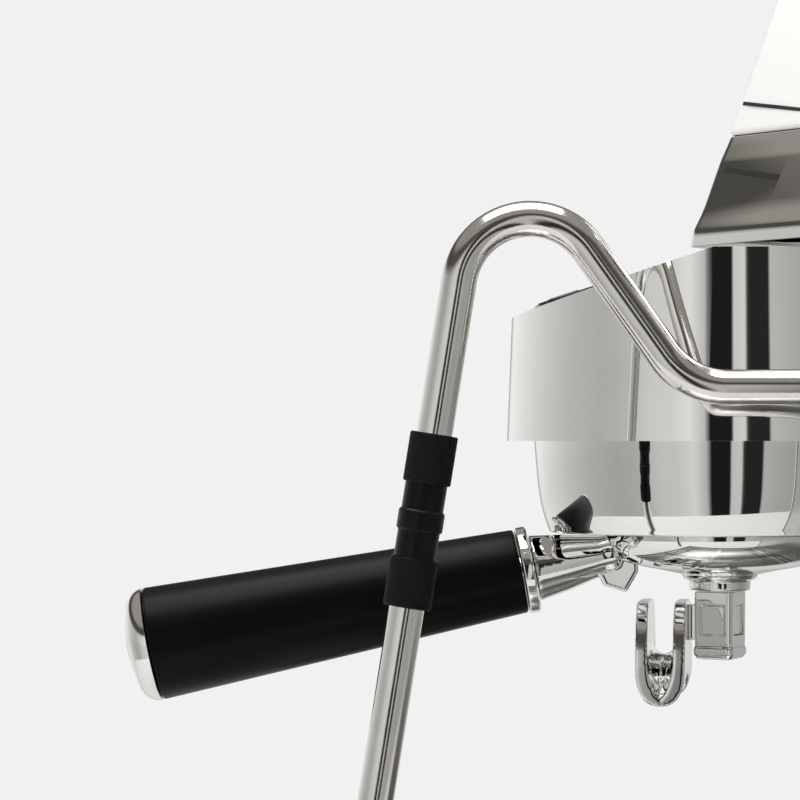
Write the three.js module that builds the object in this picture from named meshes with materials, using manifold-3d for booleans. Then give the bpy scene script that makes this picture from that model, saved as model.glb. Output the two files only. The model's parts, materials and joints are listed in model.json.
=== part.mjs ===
// Single-group espresso machine, modelled as an assembly of separate pieces.
// Units are millimetres, +Z is up, +Y points to the back and the user stands on the -Y side.
// The brew group's vertical axis is X = 0, Y = 0 while the machine is built; at the end the whole
// machine is moved so that its footprint is centred on the origin and its feet stand on Z = 0.

import * as THREE from 'three';
import { mergeVertices } from 'three/addons/utils/BufferGeometryUtils.js';
import Module from 'manifold-3d';

const wasm = await Module();
wasm.setup();

// ---------------------------------------------------------------- driving dimensions

const GAP = 0.3;                 // clearance between neighbouring pieces
const SHEET = 1.5;               // sheet-metal thickness

const GROUP_HEIGHT = 241;        // counter to the lower edge of the group cover
const BODY_HALF_WIDTH = 150;
const BODY_FRONT = 100;          // splash panel, behind the group axis
const BODY_BACK = 290;
const BASE_FRONT = -118;         // front of the drip tray housing
const FOOT_HEIGHT = 25;
const PAN_THICKNESS = 3;
const DECK_HEIGHT = 72;          // top of the drip tray housing

const COVER_RADIUS = 66.5;       // group cover at its lower edge
const COVER_FLARE = THREE.MathUtils.degToRad(2.3);
const COVER_TOP = 56.7;          // flat rear part of the cover, above its lower edge
const COVER_FRONT_TOP = 38.4;    // front of the slanted top
const COVER_SLANT = THREE.MathUtils.degToRad(18);
const COVER_WALL = 2;

const HOOD_BASE = GROUP_HEIGHT + 60.6;
const BAND_TOP = GROUP_HEIGHT + 95;
const HOOD_TOP = 400;
const HOOD_LEAN = THREE.MathUtils.degToRad(19);
const HOOD_WALL = 2;
const NOSE_TIP = -10.6;          // foot of the hood's front ridge, ahead of the group axis
const FLARE_ANGLE = THREE.MathUtils.degToRad(35);
const SHOULDER_RADIUS = 45;

const HANDLE_DROP = THREE.MathUtils.degToRad(11.2);
const HANDLE_ROOT = { y: -62.3, z: GROUP_HEIGHT - 40.6 };
const GRIP_LENGTH = 117;
const GRIP_ROOT_RADIUS = 13.1;
const GRIP_END_RADIUS = 17.7;
const STUD_RADIUS = 5;
const STUD_LENGTH = 30;

const WAND_X = 100;              // steam wand plane, right of the group axis
const WAND_RADIUS = 5;
const WAND_PIVOT_Z = GROUP_HEIGHT + 15;
const BALL_RADIUS = 9;
const BALL_Y = 92;

const TANK = { halfWidth: 85, front: 221, back: 273, bottom: 95, top: HOOD_TOP + GAP, wall: 2.5 };

const ROUND = 36;                // facets of a large round piece
const SMALL_ROUND = 16;

// ---------------------------------------------------------------- solid helpers

// Merges shared vertices, drops collapsed triangles and makes the faces point outwards.
function closed(geometry) {
  geometry.deleteAttribute('normal');
  geometry.deleteAttribute('uv');
  const merged = mergeVertices(geometry, 1e-4);
  const position = merged.attributes.position;
  const corners = [];
  let volume = 0;
  const [a, b, c] = [new THREE.Vector3(), new THREE.Vector3(), new THREE.Vector3()];
  for (let i = 0; i < merged.index.count; i += 3) {
    const triangle = [0, 1, 2].map((k) => merged.index.getX(i + k));
    if (new Set(triangle).size < 3) continue;
    a.fromBufferAttribute(position, triangle[0]);
    b.fromBufferAttribute(position, triangle[1]);
    c.fromBufferAttribute(position, triangle[2]);
    volume += a.dot(b.cross(c));
    corners.push(triangle);
  }
  if (volume < 0) corners.forEach((triangle) => triangle.reverse());
  merged.setIndex(corners.flat());
  return merged;
}

function toSolid(geometry) {
  return new wasm.Manifold(new wasm.Mesh({
    numProp: 3,
    vertProperties: new Float32Array(geometry.attributes.position.array),
    triVerts: new Uint32Array(geometry.index.array),
  }));
}

function fromSolid(solid) {
  const mesh = solid.getMesh();
  const geometry = new THREE.BufferGeometry();
  geometry.setAttribute('position', new THREE.BufferAttribute(mesh.vertProperties, 3));
  geometry.setIndex(new THREE.BufferAttribute(mesh.triVerts, 1));
  return geometry;
}

function cut(body, ...tools) {
  return fromSolid(tools.reduce((solid, tool) => solid.subtract(toSolid(tool)), toSolid(body)));
}

function join(...bodies) {
  return fromSolid(bodies.map(toSolid).reduce((solid, other) => solid.add(other)));
}

function common(...bodies) {
  return fromSolid(bodies.map(toSolid).reduce((solid, other) => solid.intersect(other)));
}

function box([x0, x1], [y0, y1], [z0, z1]) {
  const geometry = new THREE.BoxGeometry(x1 - x0, y1 - y0, z1 - z0);
  return closed(geometry.translate((x0 + x1) / 2, (y0 + y1) / 2, (z0 + z1) / 2));
}

// Turns a profile of [radius, height] points about the Z axis.
function turned(profile, facets = ROUND) {
  const points = profile.map(([radius, height]) => new THREE.Vector2(radius, height));
  return closed(new THREE.LatheGeometry(points, facets).rotateX(Math.PI / 2));
}

// A hollow profile closes on itself: its last point repeats its first.
function turnedRing(profile, facets = ROUND) {
  return turned([...profile, profile[0]], facets);
}

function rod(radius, z0, z1, facets = SMALL_ROUND) {
  return turned([[0, z0], [radius, z0], [radius, z1], [0, z1]], facets);
}

// A rod along Y, its axis at the given X and Z.
function rodAlongY(radius, from, to, x, z, facets = SMALL_ROUND) {
  return rod(radius, from, to, facets).rotateX(-Math.PI / 2).translate(x, 0, z);
}

function extruded(shape, z0, z1, curveSegments = 6) {
  const settings = { depth: z1 - z0, bevelEnabled: false, curveSegments };
  return closed(new THREE.ExtrudeGeometry(shape, settings).translate(0, 0, z0));
}

function polygon(points) {
  return new THREE.Shape(points.map(([x, y]) => new THREE.Vector2(x, y)));
}

function roundedRectangle(width, height, radius) {
  const [w, h] = [width / 2 - radius, height / 2 - radius];
  const shape = new THREE.Shape();
  shape.absarc(w, h, radius, 0, Math.PI / 2);
  shape.absarc(-w, h, radius, Math.PI / 2, Math.PI);
  shape.absarc(-w, -h, radius, Math.PI, 1.5 * Math.PI);
  shape.absarc(w, -h, radius, 1.5 * Math.PI, 2 * Math.PI);
  return shape;
}

// A shape drawn in (Y, Z) and extruded along X.
function extrudedAlongX(shape, x0, x1, curveSegments = 6) {
  const turn = new THREE.Matrix4().makeBasis(
    new THREE.Vector3(0, 1, 0), new THREE.Vector3(0, 0, 1), new THREE.Vector3(1, 0, 0));
  return extruded(shape, x0, x1, curveSegments).applyMatrix4(turn);
}

// A shape drawn in (X, Z) and extruded along Y.
function extrudedAlongY(shape, y0, y1, curveSegments = 6) {
  return extruded(shape, -y1, -y0, curveSegments).rotateX(Math.PI / 2);
}

// A route of straight runs joined by round bends, one radius for each inner corner.
function bentRoute(corners, radii) {
  const points = corners.map((corner) => new THREE.Vector3(...corner));
  const route = new THREE.CurvePath();
  let start = points[0];
  for (let i = 1; i < points.length - 1; i += 1) {
    const before = points[i - 1].clone().sub(points[i]).normalize();
    const after = points[i + 1].clone().sub(points[i]).normalize();
    const turn = Math.PI - before.angleTo(after);
    const radius = radii[i - 1];
    const reach = radius * Math.tan(turn / 2);
    const handle = reach - radius * (4 / 3) * Math.tan(turn / 4);
    const bendStart = points[i].clone().addScaledVector(before, reach);
    const bendEnd = points[i].clone().addScaledVector(after, reach);
    route.add(new THREE.LineCurve3(start, bendStart));
    route.add(new THREE.CubicBezierCurve3(
      bendStart,
      points[i].clone().addScaledVector(before, handle),
      points[i].clone().addScaledVector(after, handle),
      bendEnd));
    start = bendEnd;
  }
  route.add(new THREE.LineCurve3(start, points[points.length - 1]));
  return route;
}

function tube(route, radius, steps, sides = 8) {
  const section = new THREE.Shape();
  for (let i = 0; i < sides; i += 1) {
    const angle = (2 * Math.PI * i) / sides;
    const point = [radius * Math.cos(angle), radius * Math.sin(angle)];
    if (i === 0) section.moveTo(...point);
    else section.lineTo(...point);
  }
  return closed(new THREE.ExtrudeGeometry(section, { steps, extrudePath: route, bevelEnabled: false }));
}

// ---------------------------------------------------------------- finishes

const finish = (color, roughness, metalness) => () =>
  new THREE.MeshStandardMaterial({ color, roughness, metalness });

const chrome = finish(0xd4d6d8, 0.06, 1);
const stainless = finish(0xb9bcbf, 0.3, 1);
const whitePaint = finish(0xf2f2f0, 0.3, 0);
const blackPlastic = finish(0x161616, 0.5, 0);
const satinGrip = finish(0x121212, 0.42, 0);
const blackGlass = finish(0x0b0b0c, 0.08, 0);
const rubber = finish(0x1c1c1c, 0.85, 0);
const brass = finish(0xb08d4a, 0.35, 1);
const copper = finish(0xb4623a, 0.35, 1);
const steelPaint = finish(0x3c3f42, 0.6, 0.4);
const clearPlastic = finish(0xc9d6dc, 0.1, 0);
const silicone = finish(0xdfe2e0, 0.6, 0);
const redPaint = finish(0xb01f1c, 0.5, 0);

const machine = new THREE.Group();

function place(parent, name, geometry, material) {
  const mesh = new THREE.Mesh(geometry, material());
  mesh.name = name;
  parent.add(mesh);
  return mesh;
}

// ---------------------------------------------------------------- base

const PAN_TOP = FOOT_HEIGHT + PAN_THICKNESS;
const TRAY_POCKET = { halfWidth: 142, back: 92 };
const SHELL_BACK = BODY_FRONT - 2;

function chassisPan() {
  const inset = 2;
  const width = [-BODY_HALF_WIDTH + inset, BODY_HALF_WIDTH - inset];
  const plate = box(width, [BASE_FRONT + inset, BODY_BACK - inset], [FOOT_HEIGHT, PAN_TOP]);
  const bracketTop = TANK.bottom - GAP;
  const brackets = [-1, 1].map((side) => {
    const span = [side * TANK.halfWidth, side * (TANK.halfWidth - 25)].sort((p, q) => p - q);
    return box(span, [TANK.front + 6, TANK.back - 6], [PAN_TOP - 1, bracketTop]);
  });
  return join(plate, ...brackets);
}

function foot() {
  return turned([
    [0, 0], [18, 0], [20, 2], [20, 7], [15, 11], [12, 12], [12, FOOT_HEIGHT - GAP], [0, FOOT_HEIGHT - GAP],
  ], SMALL_ROUND);
}

// Two side walls and a rear wall; the front is open for the drip tray.
function baseShell() {
  const outer = box([-BODY_HALF_WIDTH, BODY_HALF_WIDTH], [BASE_FRONT, SHELL_BACK],
    [PAN_TOP + GAP, DECK_HEIGHT]);
  const pocket = box(
    [-TRAY_POCKET.halfWidth, TRAY_POCKET.halfWidth], [BASE_FRONT - 1, TRAY_POCKET.back],
    [PAN_TOP - 1, DECK_HEIGHT + 1]);
  return cut(outer, pocket);
}

const TRAY = { halfWidth: 140.5, front: BASE_FRONT + 1, back: 91, bottom: PAN_TOP + 2, top: 62, wall: 2 };

function dripTray() {
  const { halfWidth, front, back, bottom, top, wall } = TRAY;
  const basin = cut(
    box([-halfWidth, halfWidth], [front, back], [bottom, top]),
    box([-halfWidth + wall, halfWidth - wall], [front + wall, back - wall], [bottom + wall, top + 1]));
  const face = extrudedAlongY(
    roundedRectangle(2 * BODY_HALF_WIDTH, DECK_HEIGHT - PAN_TOP, 4), BASE_FRONT - 4, BASE_FRONT - GAP, 3);
  face.translate(0, 0, (DECK_HEIGHT + PAN_TOP) / 2);
  const web = box([-halfWidth + 4, halfWidth - 4], [BASE_FRONT - 1, front + 1], [bottom + 2, top - 2]);
  return join(basin, face, web);
}

function dripGrate() {
  const [halfWidth, front, back] = [TRAY.halfWidth - 0.5, TRAY.front + 0.5, TRAY.back - 0.5];
  const [bottom, top] = [TRAY.top + GAP, TRAY.top + GAP + 4];
  const plate = box([-halfWidth, halfWidth], [front, back], [bottom, top]);
  const slotCount = 15;
  const border = 9;
  const pitch = (2 * (halfWidth - border)) / slotCount;
  const middle = (front + back) / 2;
  const slots = [];
  for (let i = 0; i < slotCount; i += 1) {
    const x = -halfWidth + border + pitch * (i + 0.5);
    const span = [x - pitch * 0.29, x + pitch * 0.29];
    slots.push(box(span, [front + border, middle - 4], [bottom - 1, top + 1]));
    slots.push(box(span, [middle + 4, back - border], [bottom - 1, top + 1]));
  }
  return cut(plate, ...slots);
}

place(machine, 'chassis_pan', chassisPan(), steelPaint);
place(machine, 'base_shell', baseShell(), stainless);
place(machine, 'drip_tray', dripTray(), stainless);
place(machine, 'drip_grate', dripGrate(), stainless);

const FOOT_PLACES = {
  foot_front_left: [-125, -92],
  foot_front_right: [125, -92],
  foot_rear_left: [-125, 264],
  foot_rear_right: [125, 264],
};
for (const [name, [x, y]] of Object.entries(FOOT_PLACES)) {
  place(machine, name, foot(), rubber).position.set(x, y, 0);
}

// ---------------------------------------------------------------- lower body

const PANEL_TOP = HOOD_BASE - GAP;
const PANEL_INSIDE = BODY_HALF_WIDTH - SHEET - GAP;
const NECK = { radius: 22, z: GROUP_HEIGHT + 22, hole: 24 };
const HOT_WATER = { x: -100, y: 80 };

function splashPanel() {
  const panel = box([-PANEL_INSIDE, PANEL_INSIDE], [BODY_FRONT, BODY_FRONT + SHEET],
    [PAN_TOP + GAP, PANEL_TOP]);
  const neckHole = rodAlongY(NECK.hole, BODY_FRONT - 5, BODY_FRONT + 5, 0, NECK.z);
  const wandHole = rodAlongY(5, BODY_FRONT - 5, BODY_FRONT + 5, WAND_X, WAND_PIVOT_Z);
  return cut(panel, neckHole, wandHole);
}

function sidePanel(side) {
  const span = [side * (BODY_HALF_WIDTH - SHEET), side * BODY_HALF_WIDTH].sort((p, q) => p - q);
  return box(span, [BODY_FRONT - 1.5, BODY_BACK], [PAN_TOP + GAP, PANEL_TOP]);
}

const INLET = { x: 112, z: 62, width: 50, height: 26 };

function rearPanel() {
  const panel = box([-PANEL_INSIDE, PANEL_INSIDE], [BODY_BACK - SHEET, BODY_BACK],
    [PAN_TOP + GAP, PANEL_TOP]);
  const vents = [];
  for (let row = 0; row < 6; row += 1) {
    const z = 190 + row * 12;
    vents.push(box([-90, -10], [BODY_BACK - 3, BODY_BACK + 1], [z, z + 4]));
    vents.push(box([10, 90], [BODY_BACK - 3, BODY_BACK + 1], [z, z + 4]));
  }
  const socket = box(
    [INLET.x - 14.5, INLET.x + 14.5], [BODY_BACK - 3, BODY_BACK + 1], [INLET.z - 11, INLET.z + 11]);
  return cut(panel, ...vents, socket);
}

// A flanged inlet with a pocket and three contact blades; the lead that plugs in isn't part of the machine.
function powerInlet() {
  const flange = extrudedAlongY(roundedRectangle(INLET.width, INLET.height, 4), BODY_BACK + GAP,
    BODY_BACK + 3, 3);
  const barrel = box([-14, 14], [BODY_BACK - 24, BODY_BACK + 1], [-10, 10]);
  const pocket = box([-12, 12], [BODY_BACK - 16, BODY_BACK + 4], [-8, 8]);
  const blades = [[-7, -2], [0, 2], [7, -2]].map(([x, z]) =>
    box([x - 1, x + 1], [BODY_BACK - 18, BODY_BACK - 4], [z - 2, z + 2]));
  const inlet = join(cut(join(flange, barrel), pocket), ...blades);
  return inlet.translate(INLET.x, 0, INLET.z);
}

place(machine, 'splash_panel', splashPanel(), stainless);
place(machine, 'left_side_panel', sidePanel(-1), whitePaint);
place(machine, 'right_side_panel', sidePanel(1), whitePaint);
place(machine, 'rear_panel', rearPanel(), stainless);
place(machine, 'power_inlet', powerInlet(), blackPlastic);

// ---------------------------------------------------------------- hood

// Two flares meet in a ridge at the front. The hood narrows upwards; its back is cut off upright.
const flareNormal = new THREE.Vector2(Math.sin(FLARE_ANGLE), -Math.cos(FLARE_ANGLE));
const shoulderX = BODY_HALF_WIDTH - SHOULDER_RADIUS;
const SHOULDER = {
  x: shoulderX,
  y: NOSE_TIP + (flareNormal.x * shoulderX + SHOULDER_RADIUS) / Math.cos(FLARE_ANGLE),
};

// Where the two flares meet, when they are shrunk by an inset.
const ridge = (inset) => NOSE_TIP + inset / Math.cos(FLARE_ANGLE);

function hoodPlan(inset, back) {
  const flareHeading = FLARE_ANGLE - Math.PI / 2;
  const shape = new THREE.Shape();
  shape.absarc(SHOULDER.x, SHOULDER.y, SHOULDER_RADIUS - inset, flareHeading, 0);
  shape.lineTo(BODY_HALF_WIDTH - inset, back);
  shape.lineTo(-BODY_HALF_WIDTH + inset, back);
  shape.absarc(-SHOULDER.x, SHOULDER.y, SHOULDER_RADIUS - inset, Math.PI, Math.PI - flareHeading);
  shape.lineTo(0, ridge(inset));
  return shape;
}

// The tapered block between two heights, shrunk all round by the given amount.
function hoodBlock(shrink, z0, z1, back) {
  const rise = HOOD_TOP - HOOD_BASE;
  const narrowing = rise * Math.tan(HOOD_LEAN);
  const skirt = 20;
  const block = new THREE.ExtrudeGeometry(hoodPlan(0, BODY_BACK + 3 * narrowing), {
    depth: skirt,
    bevelEnabled: true,
    bevelThickness: rise,
    bevelSize: narrowing,
    bevelOffset: -narrowing - shrink,
    bevelSegments: 1,
    curveSegments: 8,
  });
  const reach = BODY_HALF_WIDTH + 10;
  return common(
    closed(block.translate(0, 0, HOOD_BASE - skirt)),
    box([-reach, reach], [-reach, back], [z0, z1]));
}

// A flare's length from the ridge's foot to where the shoulder starts.
const FLARE_LENGTH = SHOULDER.x * Math.cos(FLARE_ANGLE) + (SHOULDER.y - NOSE_TIP) * Math.sin(FLARE_ANGLE);

// A frame on a flare's face: its +Z points straight out of the face, and its +Y up along it.
function flareFrame(side, along, height) {
  const inset = height * Math.tan(HOOD_LEAN);
  const normal = flareNormal.clone();
  const base = new THREE.Vector2(0, NOSE_TIP)
    .addScaledVector(normal, -inset)
    .addScaledVector(new THREE.Vector2(-normal.y, normal.x), along);
  const out = new THREE.Vector3(
    side * normal.x * Math.cos(HOOD_LEAN), normal.y * Math.cos(HOOD_LEAN), Math.sin(HOOD_LEAN));
  const across = new THREE.Vector3(0, 0, 1).cross(out).normalize();
  const up = out.clone().cross(across);
  const frame = new THREE.Group();
  frame.matrix.makeBasis(across, up, out).setPosition(side * base.x, base.y, HOOD_BASE + height);
  frame.matrix.decompose(frame.position, frame.quaternion, frame.scale);
  frame.updateMatrixWorld();
  machine.add(frame);
  return frame;
}

const KNOB_ALONG = 0.75 * FLARE_LENGTH;
const DIAL_ALONG = 0.36 * FLARE_LENGTH;
const CONTROL_HEIGHT = 66;
const steamFrame = flareFrame(1, KNOB_ALONG, CONTROL_HEIGHT);
const hotWaterFrame = flareFrame(-1, KNOB_ALONG, CONTROL_HEIGHT);
const gaugeFrame = flareFrame(-1, DIAL_ALONG, CONTROL_HEIGHT);
const switchFrame = flareFrame(1, DIAL_ALONG, CONTROL_HEIGHT);

const STEM_RADIUS = 4;
const GAUGE = { caseRadius: 21, bezelRadius: 25, depth: 20 };
const SWITCH = { width: 19, height: 27 };

const inFrame = (frame, geometry) => closed(geometry.applyMatrix4(frame.matrixWorld));

function fasciaBand() {
  const floor = 2;
  const outer = hoodBlock(0, HOOD_BASE, BAND_TOP, BODY_BACK);
  const inner = hoodBlock(HOOD_WALL, HOOD_BASE + floor, BAND_TOP + 1, BODY_BACK - HOOD_WALL);
  const opening = box([-PANEL_INSIDE + 8, PANEL_INSIDE - 8], [BODY_FRONT + 6, BODY_BACK - 8],
    [HOOD_BASE - 1, HOOD_BASE + 3]);
  const spoutHole = rod(6.4, HOOD_BASE - 1, HOOD_BASE + floor + 1).translate(HOT_WATER.x, HOT_WATER.y, 0);
  return cut(outer, inner, opening, spoutHole);
}

const TANK_OPENING = 3.5;
const CUP_TRAY = { inset: 39, back: 200, bottom: HOOD_TOP + GAP, thickness: 2 };
const CUP_PAD = { halfWidth: 90, front: 117, back: 190, rise: 1 };

function hoodShell() {
  const outer = hoodBlock(0, BAND_TOP + GAP, HOOD_TOP, BODY_BACK);
  const inner = hoodBlock(HOOD_WALL, BAND_TOP - 1, HOOD_TOP - HOOD_WALL, BODY_BACK - HOOD_WALL);
  const tankOpening = box(
    [-TANK.halfWidth - TANK_OPENING, TANK.halfWidth + TANK_OPENING],
    [TANK.front - TANK_OPENING, TANK.back + TANK_OPENING], [HOOD_TOP - 5, HOOD_TOP + 5]);
  const warmth = box([-50, 50], [95, 185], [HOOD_TOP - 5, HOOD_TOP + 5]);
  const stemHoles = [steamFrame, hotWaterFrame].map((frame) =>
    inFrame(frame, rod(STEM_RADIUS + GAP, -8, 8)));
  const gaugeHole = inFrame(gaugeFrame, rod(GAUGE.caseRadius + GAP, -8, 8, 24));
  const switchHole = inFrame(switchFrame, box(
    [-SWITCH.width / 2 - GAP, SWITCH.width / 2 + GAP],
    [-SWITCH.height / 2 - GAP, SWITCH.height / 2 + GAP], [-8, 8]));
  return cut(outer, inner, tankOpening, warmth, ...stemHoles, gaugeHole, switchHole);
}

// A slotted tray whose middle is pressed up into a flat pad for the cups.
function cupTray() {
  const bottom = CUP_TRAY.bottom;
  const top = bottom + CUP_TRAY.thickness;
  const plate = extruded(hoodPlan(CUP_TRAY.inset, CUP_TRAY.back), bottom, top, 8);
  const padLength = CUP_PAD.back - CUP_PAD.front;
  const pad = extruded(roundedRectangle(2 * CUP_PAD.halfWidth, padLength, 8), top - 1, top + CUP_PAD.rise, 3);
  pad.translate(0, CUP_PAD.front + padLength / 2, 0);
  const slots = [];
  for (let row = 0; row < 4; row += 1) {
    const y = CUP_PAD.front + 7 + row * 18;
    for (const span of [[-44, -4], [4, 44]]) {
      slots.push(box(span, [y, y + 6], [bottom - 1, top + CUP_PAD.rise + 1]));
    }
  }
  return cut(join(plate, pad), ...slots);
}

// The rail runs round the nose of the cup tray and comes down to it at both rear ends.
function cupRail() {
  const rodRadius = 2.5;
  const seat = CUP_TRAY.bottom + CUP_TRAY.thickness + GAP;
  const rail = HOOD_TOP + 22;
  const inset = CUP_TRAY.inset + 7;
  const side = BODY_HALF_WIDTH - inset;
  const back = CUP_TRAY.back - 6;
  const nose = ridge(inset);
  const bend = nose + side * Math.tan(FLARE_ANGLE);
  const corners = [
    [-side, back, seat], [-side, back, rail], [-side, bend, rail], [0, nose, rail],
    [side, bend, rail], [side, back, rail], [side, back, seat]];
  const hoop = tube(bentRoute(corners, [8, 12, 12, 12, 8]), rodRadius, 44, 6);
  const posts = [-side, side].map((x) => rod(rodRadius, seat, rail, 6).translate(x, bend + 14, 0));
  return join(hoop, ...posts);
}

place(machine, 'fascia_band', fasciaBand(), chrome);
place(machine, 'hood_shell', hoodShell(), whitePaint);
place(machine, 'cup_tray', cupTray(), stainless);
place(machine, 'cup_rail', cupRail(), chrome);

// ---------------------------------------------------------------- water tank

function waterTank() {
  const { halfWidth, front, back, bottom, top, wall } = TANK;
  return cut(
    box([-halfWidth, halfWidth], [front, back], [bottom, top]),
    box([-halfWidth + wall, halfWidth - wall], [front + wall, back - wall], [bottom + wall, top + 1]));
}

const LID = { overhang: 6, bottom: TANK.top + GAP, thickness: 4.5 };

function tankLid() {
  const [front, back] = [TANK.front - LID.overhang, TANK.back + LID.overhang];
  const plate = extruded(roundedRectangle(2 * (TANK.halfWidth + LID.overhang), back - front, 5), 0,
    LID.thickness);
  plate.translate(0, (front + back) / 2, LID.bottom);
  const middle = (front + back) / 2;
  const grip = box([-20, 20], [middle - 5, middle + 5],
    [LID.bottom + LID.thickness - 1, LID.bottom + LID.thickness + 4]);
  return join(plate, grip);
}

place(machine, 'water_tank', waterTank(), clearPlastic);
place(machine, 'tank_lid', tankLid(), stainless);

// ---------------------------------------------------------------- brew group

const group = new THREE.Group();
group.position.z = GROUP_HEIGHT;
machine.add(group);

const coverRadius = (z) => COVER_RADIUS - z * Math.tan(COVER_FLARE);

// The cover as a filled block: a slightly tapered drum with a slanted front top, shrunk by a wall.
function coverBlock(wall, bottom) {
  const topZ = COVER_TOP - wall;
  const drum = turned([
    [0, bottom], [coverRadius(bottom) - wall, bottom], [coverRadius(topZ) - wall, topZ], [0, topZ]], 48);
  const slant = Math.tan(COVER_SLANT);
  const knee = -COVER_RADIUS + (COVER_TOP - COVER_FRONT_TOP) / slant + 1.5;
  const drop = wall / Math.cos(COVER_SLANT);
  const reach = 80;
  const above = polygon([
    [knee, COVER_TOP - drop], [-reach, COVER_TOP - drop - (knee + reach) * slant], [-reach, reach],
    [knee, reach]]);
  return cut(drum, extrudedAlongX(above, -reach, reach));
}

// The slot at the back lets the group's neck through to the boiler.
const neckSlot = () => box([-NECK.radius - 2, NECK.radius + 2], [28, 75], [-GAP, 2 * NECK.radius + 2]);

const PLATE = { y: -48.5, width: 44, length: 19, thickness: 1 };
const BUTTON_RADIUS = 6;

// A frame lying on the slanted top, +Z straight out of it.
const slantFrame = new THREE.Group();
slantFrame.position.set(0, PLATE.y, COVER_FRONT_TOP + (PLATE.y + COVER_RADIUS - 1.5) * Math.tan(COVER_SLANT));
slantFrame.rotation.x = COVER_SLANT;
slantFrame.updateMatrix();
group.add(slantFrame);

function groupCover() {
  const buttonHole = closed(rod(BUTTON_RADIUS + GAP, -6, 4).applyMatrix4(slantFrame.matrix));
  return cut(coverBlock(0, 0), coverBlock(COVER_WALL, -1), neckSlot(), buttonHole);
}

const BELL_WALL = 1.6;

function groupBell() {
  const outline = [[58, 8], [58, 0], [57.3, -9], [56.1, -18.4], [54.5, -24.7], [53.4, -27.6]];
  const inner = outline.map(([radius, z]) => [radius - BELL_WALL, z]).reverse();
  return cut(turnedRing([...outline.reverse(), ...inner.reverse()]), neckSlot());
}

function displayPlate() {
  const plate = extruded(roundedRectangle(PLATE.width, PLATE.length, 4), GAP, GAP + PLATE.thickness);
  return cut(plate, rod(BUTTON_RADIUS + GAP, -1, 4));
}

function brewButton() {
  return turned([[0, -3], [BUTTON_RADIUS, -3], [BUTTON_RADIUS, 1.6], [BUTTON_RADIUS - 0.6, 2.2],
    [0, 2.2]], SMALL_ROUND);
}

// Group body: locking ring with two entry slots, gasket seat, dome and the neck back to the boiler.
const EAR = { root: 33.5, radius: 41.8, span: 36, bottom: -19.7, top: -14 };
const CHANNEL_RADIUS = 42.5;
const UNLOCK_TURN = 45;

function groupHead() {
  const bodyBlock = turned([[0, 38], [42, 38], [46, 33], [46, -2], [50, -4], [50, -25], [0, -25]]);
  const bore = turned([
    [0, -26], [36, -26], [36, -20], [CHANNEL_RADIUS, -20], [CHANNEL_RADIUS, -13], [36.9, -13],
    [36.9, -4], [0, -4]]);
  const slots = [0, 180].map((angle) => earSector(EAR.span + 8, CHANNEL_RADIUS, -26, -19,
    angle - UNLOCK_TURN));
  const neck = rodAlongY(NECK.radius, 30, 106, 0, NECK.radius);
  const flange = rodAlongY(34, 91, 98.5, 0, NECK.radius, 24);
  return join(cut(bodyBlock, bore, ...slots), neck, flange);
}

// A sector of a ring zone, centred on the given angle about the group axis.
function earSector(span, radius, z0, z1, angle) {
  const half = THREE.MathUtils.degToRad(span / 2);
  const shape = new THREE.Shape();
  shape.moveTo(EAR.root * Math.cos(half), -EAR.root * Math.sin(half));
  shape.absarc(0, 0, radius, -half, half);
  shape.lineTo(EAR.root * Math.cos(half), EAR.root * Math.sin(half));
  return closed(extruded(shape, z0, z1, 4).rotateZ(THREE.MathUtils.degToRad(angle)));
}

const gasket = () => turnedRing([[30.5, -12], [36.5, -12], [36.5, -4 - GAP], [30.5, -4 - GAP]], 24);

function showerScreen() {
  return turned([
    [0, -11], [4, -11], [4, -10], [28.6, -10], [28.6, -8.8], [5, -8.8], [5, -4 - GAP],
    [0, -4 - GAP]], 24);
}

place(group, 'group_cover', groupCover(), chrome);
place(group, 'group_bell', groupBell(), chrome);
place(group, 'group_head', groupHead(), brass);
place(group, 'group_gasket', gasket(), rubber);
place(group, 'shower_screen', showerScreen(), stainless);
place(slantFrame, 'display_plate', displayPlate(), blackGlass);
place(slantFrame, 'brew_button', brewButton(), chrome);

// ---------------------------------------------------------------- portafilter

// A frame at the root of the grip, +Z along the handle towards its end.
const handleFrame = new THREE.Group();
handleFrame.position.set(0, HANDLE_ROOT.y, HANDLE_ROOT.z - GROUP_HEIGHT);
handleFrame.rotation.x = Math.PI / 2 + HANDLE_DROP;
handleFrame.updateMatrix();
group.add(handleFrame);

const FERRULE_LENGTH = 4;
const COLLAR_BOTTOM = -46.6;

function portafilterBody() {
  const cup = turned([
    [0, -41.5], [12, -41.5], [31, -36.5], [34, -34.2], [35, -31], [35, -13.9], [30, -13.9], [30, -34.5],
    [27, -36], [4, -38], [0, -38]]);
  const ears = [0, 180].map((angle) => earSector(EAR.span, EAR.radius, EAR.bottom, EAR.top, angle));
  const earRings = common(join(...ears), rod(EAR.radius + 1, -30, -13));
  const outlet = rod(4, -47.5, -36, 16);
  const hub = rod(11, -43, -41, 24);
  const collar = rod(9.5, COLLAR_BOTTOM, -42.5, 12);
  const neckLength = 31;
  const neck = turned([
    [0, -neckLength], [5.6, -neckLength], [10.4, -FERRULE_LENGTH - GAP], [STUD_RADIUS, -FERRULE_LENGTH - GAP],
    [STUD_RADIUS, STUD_LENGTH], [0, STUD_LENGTH]], 12).applyMatrix4(handleFrame.matrix);
  const lug = extrudedAlongX(polygon([[-38, -41.5], [-36.5, -45], [-29.5, -47.2], [-25.6, -40.5],
    [-26, -37.6], [-34, -35.5]]), -4, 4);
  const inside = turned([
    [0, -38], [4, -38], [27, -36], [30, -34.5], [30, -13], [0, -13]]);
  const shell = join(cup, earRings, hub, collar, cut(closed(neck), inside), cut(lug, inside));
  return cut(shell, outlet);
}

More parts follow.
